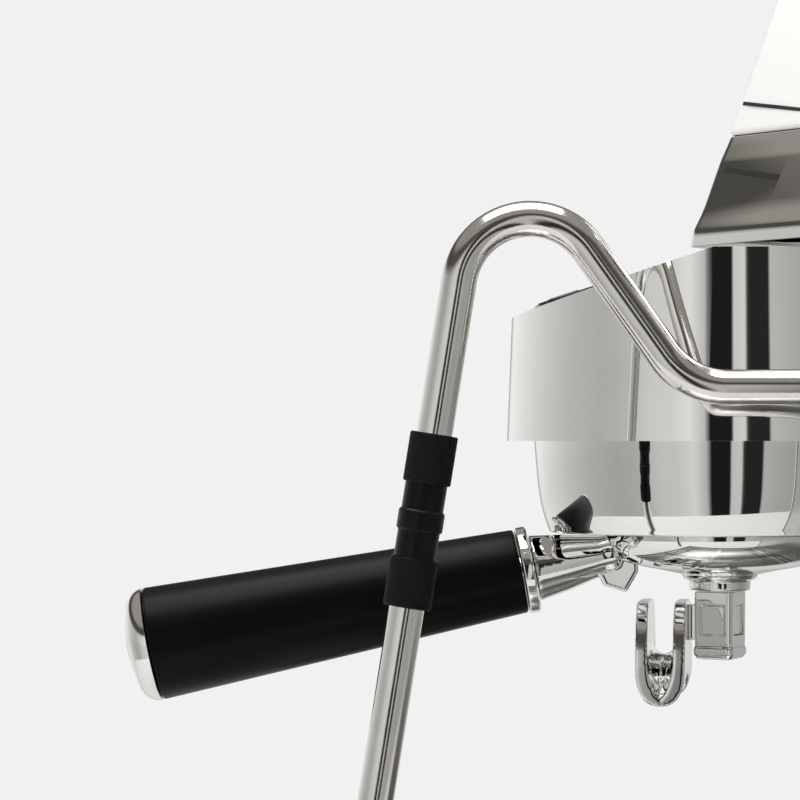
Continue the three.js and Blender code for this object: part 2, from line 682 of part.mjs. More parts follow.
function filterBasket() {
  return turnedRing([
    [0, -33.7], [26, -33.7], [28.6, -32], [28.6, -12.6], [34.5, -12.6], [34.5, -13.6],
    [29.4, -13.6], [29.4, -32.4], [26.4, -34.4], [0, -34.4]], 24);
}

const SPOUT = { half: 6.55, twist: THREE.MathUtils.degToRad(28), bottom: -68.2, y: -17.5, width: 15.3,
  bore: 7.8 };

// A twisted square block feeds an open saddle gutter that pours from a lip on each side.
function spout() {
  const { half, twist, bottom, y, width, bore } = SPOUT;
  const top = COLLAR_BOTTOM - GAP;
  const block = closed(box([-half, half], [-half, half], [bottom, top]).rotateZ(-twist));
  const bridge = box([-3.5, 3.5], [y + bore / 2 + 1, 0], [-63, -50.5]);
  const arch = (high, low, reach, foot) => {
    const shape = new THREE.Shape();
    shape.moveTo(-reach, foot);
    shape.quadraticCurveTo(-reach * 0.62, low + (foot - low) * 0.1, 0, low);
    shape.quadraticCurveTo(reach * 0.62, low + (foot - low) * 0.1, reach, foot);
    shape.lineTo(reach, foot + 14);
    shape.quadraticCurveTo(reach * 0.9, high, reach * 0.45, high);
    shape.lineTo(-reach * 0.45, high);
    shape.quadraticCurveTo(-reach * 0.9, high, -reach, foot + 14);
    return shape;
  };
  const section = (halfWidth, low, high, tip) => {
    const shape = new THREE.Shape();
    shape.moveTo(y - halfWidth, high);
    shape.lineTo(y - halfWidth, low + tip);
    shape.quadraticCurveTo(y - halfWidth, low, y, low);
    shape.quadraticCurveTo(y + halfWidth, low, y + halfWidth, low + tip);
    shape.lineTo(y + halfWidth, high);
    return shape;
  };
  const outer = common(
    extrudedAlongY(arch(-49.7, -72, 19, -82), y - width, y + width, 4),
    extrudedAlongX(section(width / 2, -82.3, -40, 12), -30, 30, 4));
  const floor = new THREE.Shape();
  floor.moveTo(-26, -83);
  floor.quadraticCurveTo(-12, -67.5, 0, -66.8);
  floor.quadraticCurveTo(12, -67.5, 26, -83);
  floor.lineTo(26, -40);
  floor.lineTo(-26, -40);
  const channel = common(
    extrudedAlongY(floor, y - width, y + width, 4),
    extrudedAlongX(section(bore / 2, -80.4, -40, 9), -30, 30, 4));
  const feed = rodAlongY(2.4, y, -2, 0, -54, 12);
  const drop = rod(2.4, -56, top + 1, 12);
  return cut(join(block, bridge, outer), channel, feed, drop);
}

const CAP = { corner: 6, dome: 8.1 };

function handleGrip() {
  const bore = STUD_RADIUS + GAP;
  return turned([
    [bore, 0], [GRIP_ROOT_RADIUS - 0.5, 0], [GRIP_ROOT_RADIUS, 0.8], [GRIP_END_RADIUS, GRIP_LENGTH],
    [0, GRIP_LENGTH], [0, STUD_LENGTH + 1], [bore, STUD_LENGTH + 1], [bore, 0]], 24);
}

function handleEndCap() {
  const radius = GRIP_END_RADIUS;
  const profile = [[0, GRIP_LENGTH + GAP], [radius, GRIP_LENGTH + GAP]];
  for (let i = 1; i <= 4; i += 1) {
    const angle = (Math.PI / 2) * (i / 4);
    profile.push([radius - CAP.corner + CAP.corner * Math.cos(angle),
      GRIP_LENGTH + GAP + CAP.corner * Math.sin(angle)]);
  }
  profile.push([radius * 0.4, GRIP_LENGTH + CAP.dome - 0.5], [0, GRIP_LENGTH + CAP.dome]);
  return turned(profile, 24);
}

function handleFerrule() {
  const bore = STUD_RADIUS + GAP;
  return turnedRing([
    [bore, -FERRULE_LENGTH], [12.9, -FERRULE_LENGTH], [13.5, -FERRULE_LENGTH + 0.6], [13.5, -GAP - 0.5],
    [13, -GAP], [bore, -GAP]], 24);
}

place(group, 'portafilter_body', portafilterBody(), chrome);
place(group, 'filter_basket', filterBasket(), stainless);
place(group, 'spout', spout(), chrome);
place(handleFrame, 'handle_ferrule', handleFerrule(), chrome);
place(handleFrame, 'handle_grip', handleGrip(), satinGrip);
place(handleFrame, 'handle_end_cap', handleEndCap(), chrome);

// ---------------------------------------------------------------- steam wand

const WAND_ROUTE = [
  [0, BALL_Y - BALL_RADIUS - GAP, 0],
  [0, -19.8, 0],
  [0, -75.7, 78.4],
  [0, -111, -141.6],
];
const wandDown = new THREE.Vector3(0, WAND_ROUTE[3][1] - WAND_ROUTE[2][1],
  WAND_ROUTE[3][2] - WAND_ROUTE[2][2]).normalize();

const wand = new THREE.Group();
wand.position.set(WAND_X, 0, WAND_PIVOT_Z);
machine.add(wand);

// A frame on the wand's leg where the sleeve starts, +Z along the leg towards the tip.
const SLEEVE = { top: 92.6, length: 49, collar: 6.8, neck: 5.9, ring: 6.5 };
const legFrame = new THREE.Group();
legFrame.position.set(...WAND_ROUTE[2]).addScaledVector(wandDown, SLEEVE.top);
legFrame.quaternion.setFromUnitVectors(new THREE.Vector3(0, 0, 1), wandDown);
wand.add(legFrame);

const lastBend = new THREE.Vector3(...WAND_ROUTE[2]);
const TIP_AT = lastBend.distanceTo(new THREE.Vector3(...WAND_ROUTE[3])) - SLEEVE.top;

const wandTube = () => tube(bentRoute(WAND_ROUTE, [22, 20]), WAND_RADIUS, 48, 8);

// Two knurled collars with a slimmer waist and a ring between them.
function wandSleeve() {
  const { length, collar, neck, ring } = SLEEVE;
  const bore = WAND_RADIUS + 0.15;
  return turnedRing([
    [bore, 0], [collar - 0.4, 0], [collar, 0.6], [collar, 13.4], [neck, 14], [neck, 21.5], [ring, 22],
    [ring, 27], [neck, 27.5], [neck, 35], [collar, 35.6], [collar, length - 0.6], [collar - 0.4, length],
    [bore, length]], 16);
}

function wandTip() {
  return turned([
    [0, TIP_AT + GAP], [WAND_RADIUS + 0.6, TIP_AT + GAP], [WAND_RADIUS + 0.6, TIP_AT + 7],
    [3.6, TIP_AT + 12], [0, TIP_AT + 13]], 16);
}

function wandBall() {
  return closed(new THREE.SphereGeometry(BALL_RADIUS, 16, 10).translate(0, BALL_Y, 0));
}

function wandSocket() {
  const [mouth, back] = [BALL_Y - 6, BODY_FRONT - GAP];
  const nut = rodAlongY(15, mouth, back, 0, 0, 12);
  const pocket = closed(new THREE.SphereGeometry(BALL_RADIUS + GAP, 16, 10).translate(0, BALL_Y, 0));
  const rear = rodAlongY(5, BALL_Y, back + 1, 0, 0, 16);
  return cut(nut, pocket, rear);
}

place(wand, 'wand_tube', wandTube(), stainless);
place(wand, 'wand_ball', wandBall(), chrome);
place(wand, 'wand_socket', wandSocket(), chrome);
place(legFrame, 'wand_sleeve', wandSleeve(), blackPlastic);
place(legFrame, 'wand_tip', wandTip(), stainless);

// ---------------------------------------------------------------- controls on the hood

// A turned knob with a waist; its spindle goes through the hood into the valve.
function valveKnob() {
  return turned([
    [0, -16], [STEM_RADIUS, -16], [STEM_RADIUS, 2], [9, 2], [9, 8], [18, 12], [20, 16], [20, 28],
    [18, 31], [0, 31]], 20);
}

const VALVE = { half: 12, near: -5, far: -36 };

function valveBody() {
  const block = box([-VALVE.half, VALVE.half], [-VALVE.half, VALVE.half], [VALVE.far, VALVE.near]);
  return cut(block, rod(STEM_RADIUS + GAP, -17, 0, 16));
}

place(steamFrame, 'steam_knob', valveKnob(), blackPlastic);
place(hotWaterFrame, 'hot_water_knob', valveKnob(), blackPlastic);
place(steamFrame, 'steam_valve', valveBody(), brass);
place(hotWaterFrame, 'hot_water_valve', valveBody(), brass);

function gaugeCase() {
  const { caseRadius, bezelRadius, depth } = GAUGE;
  return turned([
    [0, -depth], [caseRadius, -depth], [caseRadius, GAP], [bezelRadius, GAP], [bezelRadius, 6],
    [bezelRadius - 1, 7],
    [bezelRadius - 4.7, 7], [bezelRadius - 4.7, 2], [0, 2]], 24);
}

const gaugeGlass = () => rod(GAUGE.bezelRadius - 5, 5, 6.5, 24);
const NEEDLE_REST = THREE.MathUtils.degToRad(225);

// The needle points at zero, low on the left of the dial.
function gaugeNeedle() {
  const hand = extruded(polygon([[-4, -0.7], [15, -0.3], [15, 0.3], [-4, 0.7]]), 3, 3.6);
  return closed(join(hand, rod(1.8, 2 + GAP, 3.9, 12)).rotateZ(NEEDLE_REST));
}

function powerSwitch() {
  const { width, height } = SWITCH;
  const body = extrudedAlongX(polygon([
    [-height / 2 + 1, -9], [height / 2 - 1, -9], [height / 2 - 1, 1.5], [0, 3.4],
    [-height / 2 + 1, 6]]), -width / 2 + 0.5, width / 2 - 0.5);
  return body;
}

place(gaugeFrame, 'gauge_case', gaugeCase(), chrome);
place(gaugeFrame, 'gauge_glass', gaugeGlass(), clearPlastic);
place(gaugeFrame, 'gauge_needle', gaugeNeedle(), redPaint);
place(switchFrame, 'power_switch', powerSwitch(), blackPlastic);

// A swan-neck spout that hangs from the hood and swivels about its upright stem.
function hotWaterSpout() {
  const corners = [[0, 0, HOOD_BASE + 6], [0, 0, HOOD_BASE - 34], [0, -38, HOOD_BASE - 52],
    [0, -46, HOOD_BASE - 92]];
  const stem = rod(9, HOOD_BASE - 14, HOOD_BASE - GAP, 16);
  return join(tube(bentRoute(corners, [14, 14]), 5, 24, 8), stem);
}

place(machine, 'hot_water_spout', hotWaterSpout(), chrome).position.set(HOT_WATER.x, HOT_WATER.y, 0);

// ---------------------------------------------------------------- inside the body

const BREW_BOILER = { radius: 38, front: 106 + GAP, back: 196, wall: 3 };
const STEAM_BOILER = { x: 88, y: 162, radius: 40, bottom: 158, top: 328, wall: 3 };
const MOTOR = { y: 160, z: PAN_TOP + 48, radius: 42, left: -128, right: 6 };
const PUMP = { radius: 28, left: 24, right: 92 };
const SHAFT_RADIUS = 7;

function brewBoiler() {
  const { radius, front, back, wall } = BREW_BOILER;
  const vessel = turnedRing([
    [0, front], [radius, front], [radius, back - 6], [radius + 5, back - 6], [radius + 5, back],
    [radius - wall, back], [radius - wall, front + wall], [0, front + wall]], 24);
  return vessel.rotateX(-Math.PI / 2).translate(0, 0, NECK.z);
}

// A flange with a hairpin element, drawn along +Z.
function heater(flangeRadius, elementLength) {
  const reach = 14;
  const corners = [[-reach, 0, 5], [-reach, 0, 6 + elementLength], [reach, 0, 6 + elementLength],
    [reach, 0, 5]];
  const element = tube(bentRoute(corners, [reach - 1, reach - 1]), 4, 18, 6);
  const flange = rod(flangeRadius, 0, 6, 24);
  const terminals = [-reach, reach].map((x) => rod(3, -9, 1, 8).translate(x, 0, 0));
  return join(flange, element, ...terminals);
}

function steamBoiler() {
  const { radius, bottom, top, wall } = STEAM_BOILER;
  return turnedRing([
    [radius - wall, bottom], [radius + 4, bottom], [radius + 4, bottom + 6], [radius, bottom + 6],
    [radius, top - 8],
    [radius - 8, top], [0, top], [0, top - wall], [radius - 10, top - wall], [radius - wall, top - 11]], 24);
}

function pumpMotor() {
  const { radius, left, right, y, z } = MOTOR;
  const bore = SHAFT_RADIUS + 0.4;
  const can = turnedRing([
    [bore, left + 12], [bore, right], [radius - 6, right], [radius, right - 6], [radius, left + 6],
    [radius - 6, left],
    [0, left], [0, left + 12]], 20);
  const body = can.rotateY(Math.PI / 2).translate(0, y, z);
  const feet = [left + 25, right - 30].map((x) => box([x - 8, x + 8], [y - 30, y + 30],
    [PAN_TOP + GAP, z - radius + 8]));
  return join(body, ...feet);
}

function pumpBody() {
  const bore = SHAFT_RADIUS + 0.4;
  const can = turnedRing([
    [bore, PUMP.left], [PUMP.radius, PUMP.left], [PUMP.radius, PUMP.right], [0, PUMP.right],
    [0, PUMP.right - 22],
    [bore, PUMP.right - 22]], 20);
  const body = can.rotateY(Math.PI / 2).translate(0, MOTOR.y, MOTOR.z);
  const pedestal = box(
    [PUMP.left + 20, PUMP.right - 20], [MOTOR.y - 16, MOTOR.y + 16],
    [PAN_TOP + GAP, MOTOR.z - PUMP.radius + 3]);
  return join(body, pedestal);
}

function motorShaft() {
  const shaft = turned([
    [0, MOTOR.left + 14], [SHAFT_RADIUS, MOTOR.left + 14], [SHAFT_RADIUS, MOTOR.right + 2],
    [13, MOTOR.right + 2],
    [13, PUMP.left - 2], [SHAFT_RADIUS, PUMP.left - 2], [SHAFT_RADIUS, PUMP.right - 24],
    [0, PUMP.right - 24]], 12);
  return closed(shaft.rotateY(Math.PI / 2).translate(0, MOTOR.y, MOTOR.z));
}

function solenoidValve() {
  const block = box([-80, -48], [112, 140], [222, 250]);
  const coil = rod(13, 249, 284).translate(-64, 126, 0);
  return join(block, coil);
}

function controlBox() {
  const housing = box([-142, -92], [120, 205], [150, 235]);
  const fins = [];
  for (let i = 0; i < 6; i += 1) fins.push(box([-93, -86], [126 + i * 14, 130 + i * 14], [158, 228]));
  return join(housing, ...fins);
}

place(machine, 'brew_boiler', brewBoiler(), stainless);
place(machine, 'brew_heater', closed(heater(BREW_BOILER.radius + 5, 60).rotateX(Math.PI / 2)
  .translate(0, BREW_BOILER.back + GAP + 6, NECK.z)), copper);
place(machine, 'steam_boiler', steamBoiler(), stainless)
  .position.set(STEAM_BOILER.x, STEAM_BOILER.y, 0);
place(machine, 'steam_heater', heater(STEAM_BOILER.radius + 4, 90), copper)
  .position.set(STEAM_BOILER.x, STEAM_BOILER.y, STEAM_BOILER.bottom - 6 - GAP);
place(machine, 'pump_motor', pumpMotor(), steelPaint);
place(machine, 'pump_body', pumpBody(), brass);
place(machine, 'motor_shaft', motorShaft(), stainless);
place(machine, 'solenoid_valve', solenoidValve(), brass);
place(machine, 'control_box', controlBox(), blackPlastic);

// Pipes. Each end stops a small gap short of the fitting that it meets.
const fromFrame = (frame, x, y, z) => new THREE.Vector3(x, y, z).applyMatrix4(frame.matrixWorld).toArray();
const PIPE_RADIUS = 4;

const steamFeedRoute = [
  fromFrame(steamFrame, 0, 0, VALVE.far - GAP),
  fromFrame(steamFrame, 0, 0, VALVE.far - 22),
  [STEAM_BOILER.x, STEAM_BOILER.y, STEAM_BOILER.top + 26],
  [STEAM_BOILER.x, STEAM_BOILER.y, STEAM_BOILER.top + GAP],
];
const steamWandRoute = [
  fromFrame(steamFrame, 0, -VALVE.half - GAP, -24),
  fromFrame(steamFrame, 0, -VALVE.half - 16, -24),
  [WAND_X, 114, HOOD_BASE + 8],
  [WAND_X, 114, WAND_PIVOT_Z],
  [WAND_X, BODY_FRONT + SHEET + GAP, WAND_PIVOT_Z],
];
const hotWaterRoute = [
  fromFrame(hotWaterFrame, 0, -VALVE.half - GAP, -24),
  fromFrame(hotWaterFrame, 0, -VALVE.half - 14, -24),
  [HOT_WATER.x, HOT_WATER.y, HOOD_BASE + 22],
  [HOT_WATER.x, HOT_WATER.y, HOOD_BASE + 6 + GAP],
];
const boilerFillRoute = [
  [58, MOTOR.y, MOTOR.z + PUMP.radius + GAP],
  [58, MOTOR.y, 128],
  [0, 150, 165],
  [0, 150, NECK.z - BREW_BOILER.radius - GAP],
];
const suctionRoute = [
  [0, 247, TANK.bottom - GAP],
  [0, 247, 62],
  [40, 212, 62],
  [122, 205, 66],
  [128, MOTOR.y, MOTOR.z],
  [PUMP.right + GAP, MOTOR.y, MOTOR.z],
];

place(machine, 'steam_feed_pipe', tube(bentRoute(steamFeedRoute, [10, 12]), PIPE_RADIUS, 18, 6), copper);
place(machine, 'steam_wand_pipe', tube(bentRoute(steamWandRoute, [8, 8, 9]), PIPE_RADIUS, 22, 6), copper);
place(machine, 'hot_water_pipe', tube(bentRoute(hotWaterRoute, [6, 6]), PIPE_RADIUS, 16, 6), copper);
place(machine, 'boiler_fill_pipe', tube(bentRoute(boilerFillRoute, [12, 16]), PIPE_RADIUS, 22, 6), copper);
place(machine, 'suction_hose', tube(bentRoute(suctionRoute, [18, 16, 20, 16]), 5, 30, 6), silicone);

// ---------------------------------------------------------------- whole machine

// Centre the footprint on the origin; the feet already stand on Z = 0.
machine.updateMatrixWorld(true);
const extent = new THREE.Box3().setFromObject(machine, true);
const centre = extent.getCenter(new THREE.Vector3());
machine.position.set(-centre.x, -centre.y, 0);

export default machine;
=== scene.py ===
"""The look of a single-group espresso machine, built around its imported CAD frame.

Outlines are in millimetres in a piece's own frame; each piece is then placed in the row frame in metres.
"""
import json
import math

import bmesh
import bpy
from mathutils import Matrix, Vector


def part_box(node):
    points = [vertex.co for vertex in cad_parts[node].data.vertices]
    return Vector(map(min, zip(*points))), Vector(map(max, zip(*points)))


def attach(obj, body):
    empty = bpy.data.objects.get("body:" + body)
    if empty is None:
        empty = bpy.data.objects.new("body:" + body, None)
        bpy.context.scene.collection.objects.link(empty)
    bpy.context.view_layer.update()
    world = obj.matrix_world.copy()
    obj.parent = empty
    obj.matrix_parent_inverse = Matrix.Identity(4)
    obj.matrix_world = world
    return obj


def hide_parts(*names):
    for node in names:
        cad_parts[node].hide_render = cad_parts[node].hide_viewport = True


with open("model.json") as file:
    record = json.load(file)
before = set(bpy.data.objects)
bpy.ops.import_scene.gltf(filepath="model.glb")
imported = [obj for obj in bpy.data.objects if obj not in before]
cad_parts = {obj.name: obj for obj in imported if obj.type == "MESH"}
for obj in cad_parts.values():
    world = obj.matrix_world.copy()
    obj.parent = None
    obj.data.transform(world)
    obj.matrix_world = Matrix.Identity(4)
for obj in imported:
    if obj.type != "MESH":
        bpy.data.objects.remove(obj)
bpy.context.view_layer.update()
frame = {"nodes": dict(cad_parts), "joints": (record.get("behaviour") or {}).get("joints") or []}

MM = 0.001
GAP = 0.3
UP = Vector((0, 0, 1))

scene = bpy.context.scene


# ---------------------------------------------------------------- places, read from the frame

def joint(name):
    """(position, axis) of a hinge, in the row frame; a slide has no position."""
    found = next(j for j in frame["joints"] if j["name"] == name)
    return Vector(found.get("pos_m", (0, 0, 0))), Vector(found["axis"])


def middle_of(node):
    low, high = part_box(node)
    return (low + high) / 2


def frame_at(origin, out):
    """A frame whose +Z points out and whose +Y climbs as steeply as it can."""
    z = Vector(out).normalized()
    x = UP.cross(z).normalized()
    y = z.cross(x)
    return Matrix.Translation(origin) @ Matrix((x, y, z)).transposed().to_4x4()


def mirrored(vector):
    return Vector((-vector.x, vector.y, vector.z))


COVER_RADIUS = 66.5
cover_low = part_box("group_cover")[0]
GROUP = Vector((0, cover_low.y + COVER_RADIUS * MM, cover_low.z))
AT_GROUP = Matrix.Translation(GROUP)

HANDLE_DROP = math.radians(11.2)
HANDLE_ROOT = GROUP + Vector((0, -62.3, -40.6)) * MM
AT_HANDLE = frame_at(HANDLE_ROOT, (0, -math.cos(HANDLE_DROP), -math.sin(HANDLE_DROP)))

BALL_Y = 92
WAND = middle_of("wand_ball") - Vector((0, BALL_Y, 0)) * MM
AT_WAND = Matrix.Translation(WAND)

AT_STEAM_KNOB = frame_at(*joint("steam_knob_turn"))
AT_HOT_KNOB = frame_at(*joint("hot_water_knob_turn"))
AT_GAUGE = frame_at(*joint("gauge_needle_sweep"))
AT_SWITCH = frame_at(mirrored(joint("gauge_needle_sweep")[0]), mirrored(joint("gauge_needle_sweep")[1]))
BUTTON_PROUD = 2.2
BUTTON_DEPTH = 3
button_out = -joint("brew_button_press")[1]
button_at = middle_of("brew_button") + button_out * (BUTTON_DEPTH - BUTTON_PROUD) / 2 * MM
AT_BUTTON = frame_at(button_at, button_out)


# ---------------------------------------------------------------- mesh tools

def polar(radius, angle):
    return radius * math.cos(angle), radius * math.sin(angle)


def arc(centre, radius, start, end, steps):
    """Points round an arc, its angles in degrees."""
    turns = [math.radians(start + (end - start) * i / steps) for i in range(steps + 1)]
    return [(centre[0] + radius * math.cos(t), centre[1] + radius * math.sin(t)) for t in turns]


def eased(outline, radius, steps=4, loop=False):
    """Rounds the corners of a flat outline to a radius, or less where a side is short."""
    count = len(outline)
    points = []
    for i, corner in enumerate(outline):
        if not loop and i in (0, count - 1):
            points.append(Vector(corner))
            continue
        corner = Vector(corner)
        before = Vector(outline[i - 1]) - corner
        after = Vector(outline[(i + 1) % count]) - corner
        bend = before.angle(after)
        if abs(math.pi - bend) < 0.02:
            points.append(corner)
            continue
        reach = min(radius / math.tan(bend / 2), before.length * 0.45, after.length * 0.45)
        start = corner + before.normalized() * reach
        end = corner + after.normalized() * reach
        for k in range(steps + 1):
            t = k / steps
            points.append(start * (1 - t) ** 2 + corner * 2 * t * (1 - t) + end * t * t)
    return [tuple(p) for p in points]


def bridged(mesh, rings, wrap=False):
    """Joins rings of vertices that have the same count, or one vertex at a pole."""
    pairs = list(zip(rings, rings[1:]))
    if wrap:
        pairs.append((rings[-1], rings[0]))
    for low, high in pairs:
        count = max(len(low), len(high))
        for i in range(count):
            k = (i + 1) % count
            corners = [low[i % len(low)], low[k % len(low)], high[k % len(high)], high[i % len(high)]]
            face = list(dict.fromkeys(corners))
            if len(face) > 2:
                mesh.faces.new(face)


def turned(profile, segments=128, ring=False):
    """A solid of revolution about Z through (radius, height) points; a ring closes on itself."""
    mesh = bmesh.new()
    rings = []
    for radius, height in profile:
        if radius < 1e-6:
            rings.append([mesh.verts.new((0, 0, height))])
            continue
        turns = [2 * math.pi * i / segments for i in range(segments)]
        rings.append([mesh.verts.new((*polar(radius, t), height)) for t in turns])
    bridged(mesh, rings, wrap=ring)
    return mesh


def lofted(rings):
    """A closed skin over rings of 3-D points, with a flat cap at each end."""
    mesh = bmesh.new()
    made = [[mesh.verts.new(p) for p in ring] for ring in rings]
    bridged(mesh, made)
    mesh.faces.new(made[0])
    mesh.faces.new(made[-1])
    return mesh


def slab(outline, z0, z1):
    """A flat outline made solid between two heights."""
    return lofted([[(x, y, z) for x, y in outline] for z in (z0, z1)])


def block(x, y, z):
    return slab([(x[0], y[0]), (x[1], y[0]), (x[1], y[1]), (x[0], y[1])], *z)


def curve2(start, pull, end, steps=14):
    """Points on the curve from start to end that leans towards pull."""
    return [((1 - t) ** 2 * start[0] + 2 * t * (1 - t) * pull[0] + t * t * end[0],
             (1 - t) ** 2 * start[1] + 2 * t * (1 - t) * pull[1] + t * t * end[1])
            for t in [i / steps for i in range(steps + 1)]]


def rectangle(width, height, radius, steps=6):
    w, h = width / 2, height / 2
    return eased([(w, h), (-w, h), (-w, -h), (w, -h)], radius, steps, loop=True)


TO_X = Matrix(((0, 0, 1, 0), (1, 0, 0, 0), (0, 1, 0, 0), (0, 0, 0, 1)))
TO_Y = Matrix(((1, 0, 0, 0), (0, 0, -1, 0), (0, 1, 0, 0), (0, 0, 0, 1)))


def moved(mesh, matrix):
    mesh.transform(matrix)
    return mesh


def shifted(mesh, x=0, y=0, z=0):
    return moved(mesh, Matrix.Translation((x, y, z)))


def route(corners, radii, steps=14):
    """A line of straight runs joined by round bends, one radius for each inner corner."""
    corners = [Vector(c) for c in corners]
    points = [corners[0]]
    for before, corner, after, radius in zip(corners, corners[1:], corners[2:], radii):
        back, ahead = (before - corner).normalized(), (after - corner).normalized()
        half = back.angle(ahead) / 2
        middle = (back + ahead).normalized() * (radius / math.sin(half))
        start = back * (radius / math.tan(half)) - middle
        end = ahead * (radius / math.tan(half)) - middle
        points += [corner + middle + start.slerp(end, k / steps).normalized() * radius
                   for k in range(steps + 1)]
    return points + [corners[-1]]


def swept(path, radius, sides=32):
    """A round bar along a path, carried without twist. The radius may be a number for each point."""
    radii = radius if isinstance(radius, list) else [radius] * len(path)
    heading = (path[1] - path[0]).normalized()
    across = heading.orthogonal().normalized()
    rings = []
    for i, point in enumerate(path):
        ahead = path[min(i + 1, len(path) - 1)] - path[max(i - 1, 0)]
        turn = heading.rotation_difference(ahead.normalized())
        heading = ahead.normalized()
        across = (turn @ across).normalized()
        side = heading.cross(across)
        turns = [2 * math.pi * k / sides for k in range(sides)]
        rings.append([point + (across * math.cos(t) + side * math.sin(t)) * radii[i] for t in turns])
    return lofted(rings)


def as_object(mesh, name="tool"):
    bmesh.ops.recalc_face_normals(mesh, faces=mesh.faces)
    data = bpy.data.meshes.new(name)
    mesh.to_mesh(data)
    mesh.free()
    made = bpy.data.objects.new(name, data)
    scene.collection.objects.link(made)
    return made


def combined(base, tools, how="DIFFERENCE"):
    """The base with every tool cut from it, joined to it or kept in common with it."""
    body = as_object(base, "base")
    helpers = [as_object(tool) for tool in tools]
    for helper in helpers:
        step = body.modifiers.new(how, "BOOLEAN")
        step.object = helper
        step.operation = how
        step.solver = "EXACT"
    evaluated = body.evaluated_get(bpy.context.evaluated_depsgraph_get())
    mesh = bmesh.new()
    mesh.from_mesh(evaluated.to_mesh())
    evaluated.to_mesh_clear()
    for used in [body, *helpers]:
        bpy.data.meshes.remove(used.data)
    bmesh.ops.dissolve_degenerate(mesh, dist=1e-4, edges=mesh.edges)
    bmesh.ops.dissolve_limit(mesh, angle_limit=math.radians(0.4), verts=mesh.verts, edges=mesh.edges)
    return mesh


def gathered(*meshes):
    """Several closed skins in one mesh."""
    whole = bmesh.new()
    for mesh in meshes:
        data = bpy.data.meshes.new("part")
        bmesh.ops.recalc_face_normals(mesh, faces=mesh.faces)
        mesh.to_mesh(data)
        mesh.free()
        whole.from_mesh(data)
        bpy.data.meshes.remove(data)
    return whole


def cast(mesh, grain, passes):
    """A mesh remade at an even grain and relaxed, so that its corners and joins flow like a casting."""
    body = as_object(mesh, "casting")
    step = body.modifiers.new("even", "REMESH")
    step.mode = "VOXEL"
    step.voxel_size = grain
    relax = body.modifiers.new("relax", "SMOOTH")
    relax.factor = 0.5
    relax.iterations = passes
    evaluated = body.evaluated_get(bpy.context.evaluated_depsgraph_get())
    soft = bmesh.new()
    soft.from_mesh(evaluated.to_mesh())
    evaluated.to_mesh_clear()
    bpy.data.meshes.remove(body.data)
    return soft


def rounded_edges(made, width, segments=3, angle=30):
    """Rounds a piece's edges; width in millimetres."""
    step = made.modifiers.new("rounding", "BEVEL")
    step.width = width * MM
    step.segments = segments
    step.limit_method = "ANGLE"
    step.angle_limit = math.radians(angle)
    step.harden_normals = True
    step.miter_outer = "MITER_ARC"
    return made


def piece(name, mesh, finish, body, place=None, stands_for=(), edge=0, smooth=35):
    """Makes a millimetre mesh a piece that rides on a body and may stand for CAD nodes."""
    bmesh.ops.recalc_face_normals(mesh, faces=mesh.faces)
    data = bpy.data.meshes.new(name)
    mesh.to_mesh(data)
    mesh.free()
    data.transform((place or Matrix.Identity(4)) @ Matrix.Diagonal((MM, MM, MM, 1)))
    data.materials.append(finish)
    made = bpy.data.objects.new(name, data)
    scene.collection.objects.link(made)
    data.shade_smooth()
    if edge:
        rounded_edges(made, edge)
    else:
        data.set_sharp_from_angle(angle=math.radians(smooth))
    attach(made, body)
    if stands_for:
        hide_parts(*stands_for)
    return made


# ---------------------------------------------------------------- materials

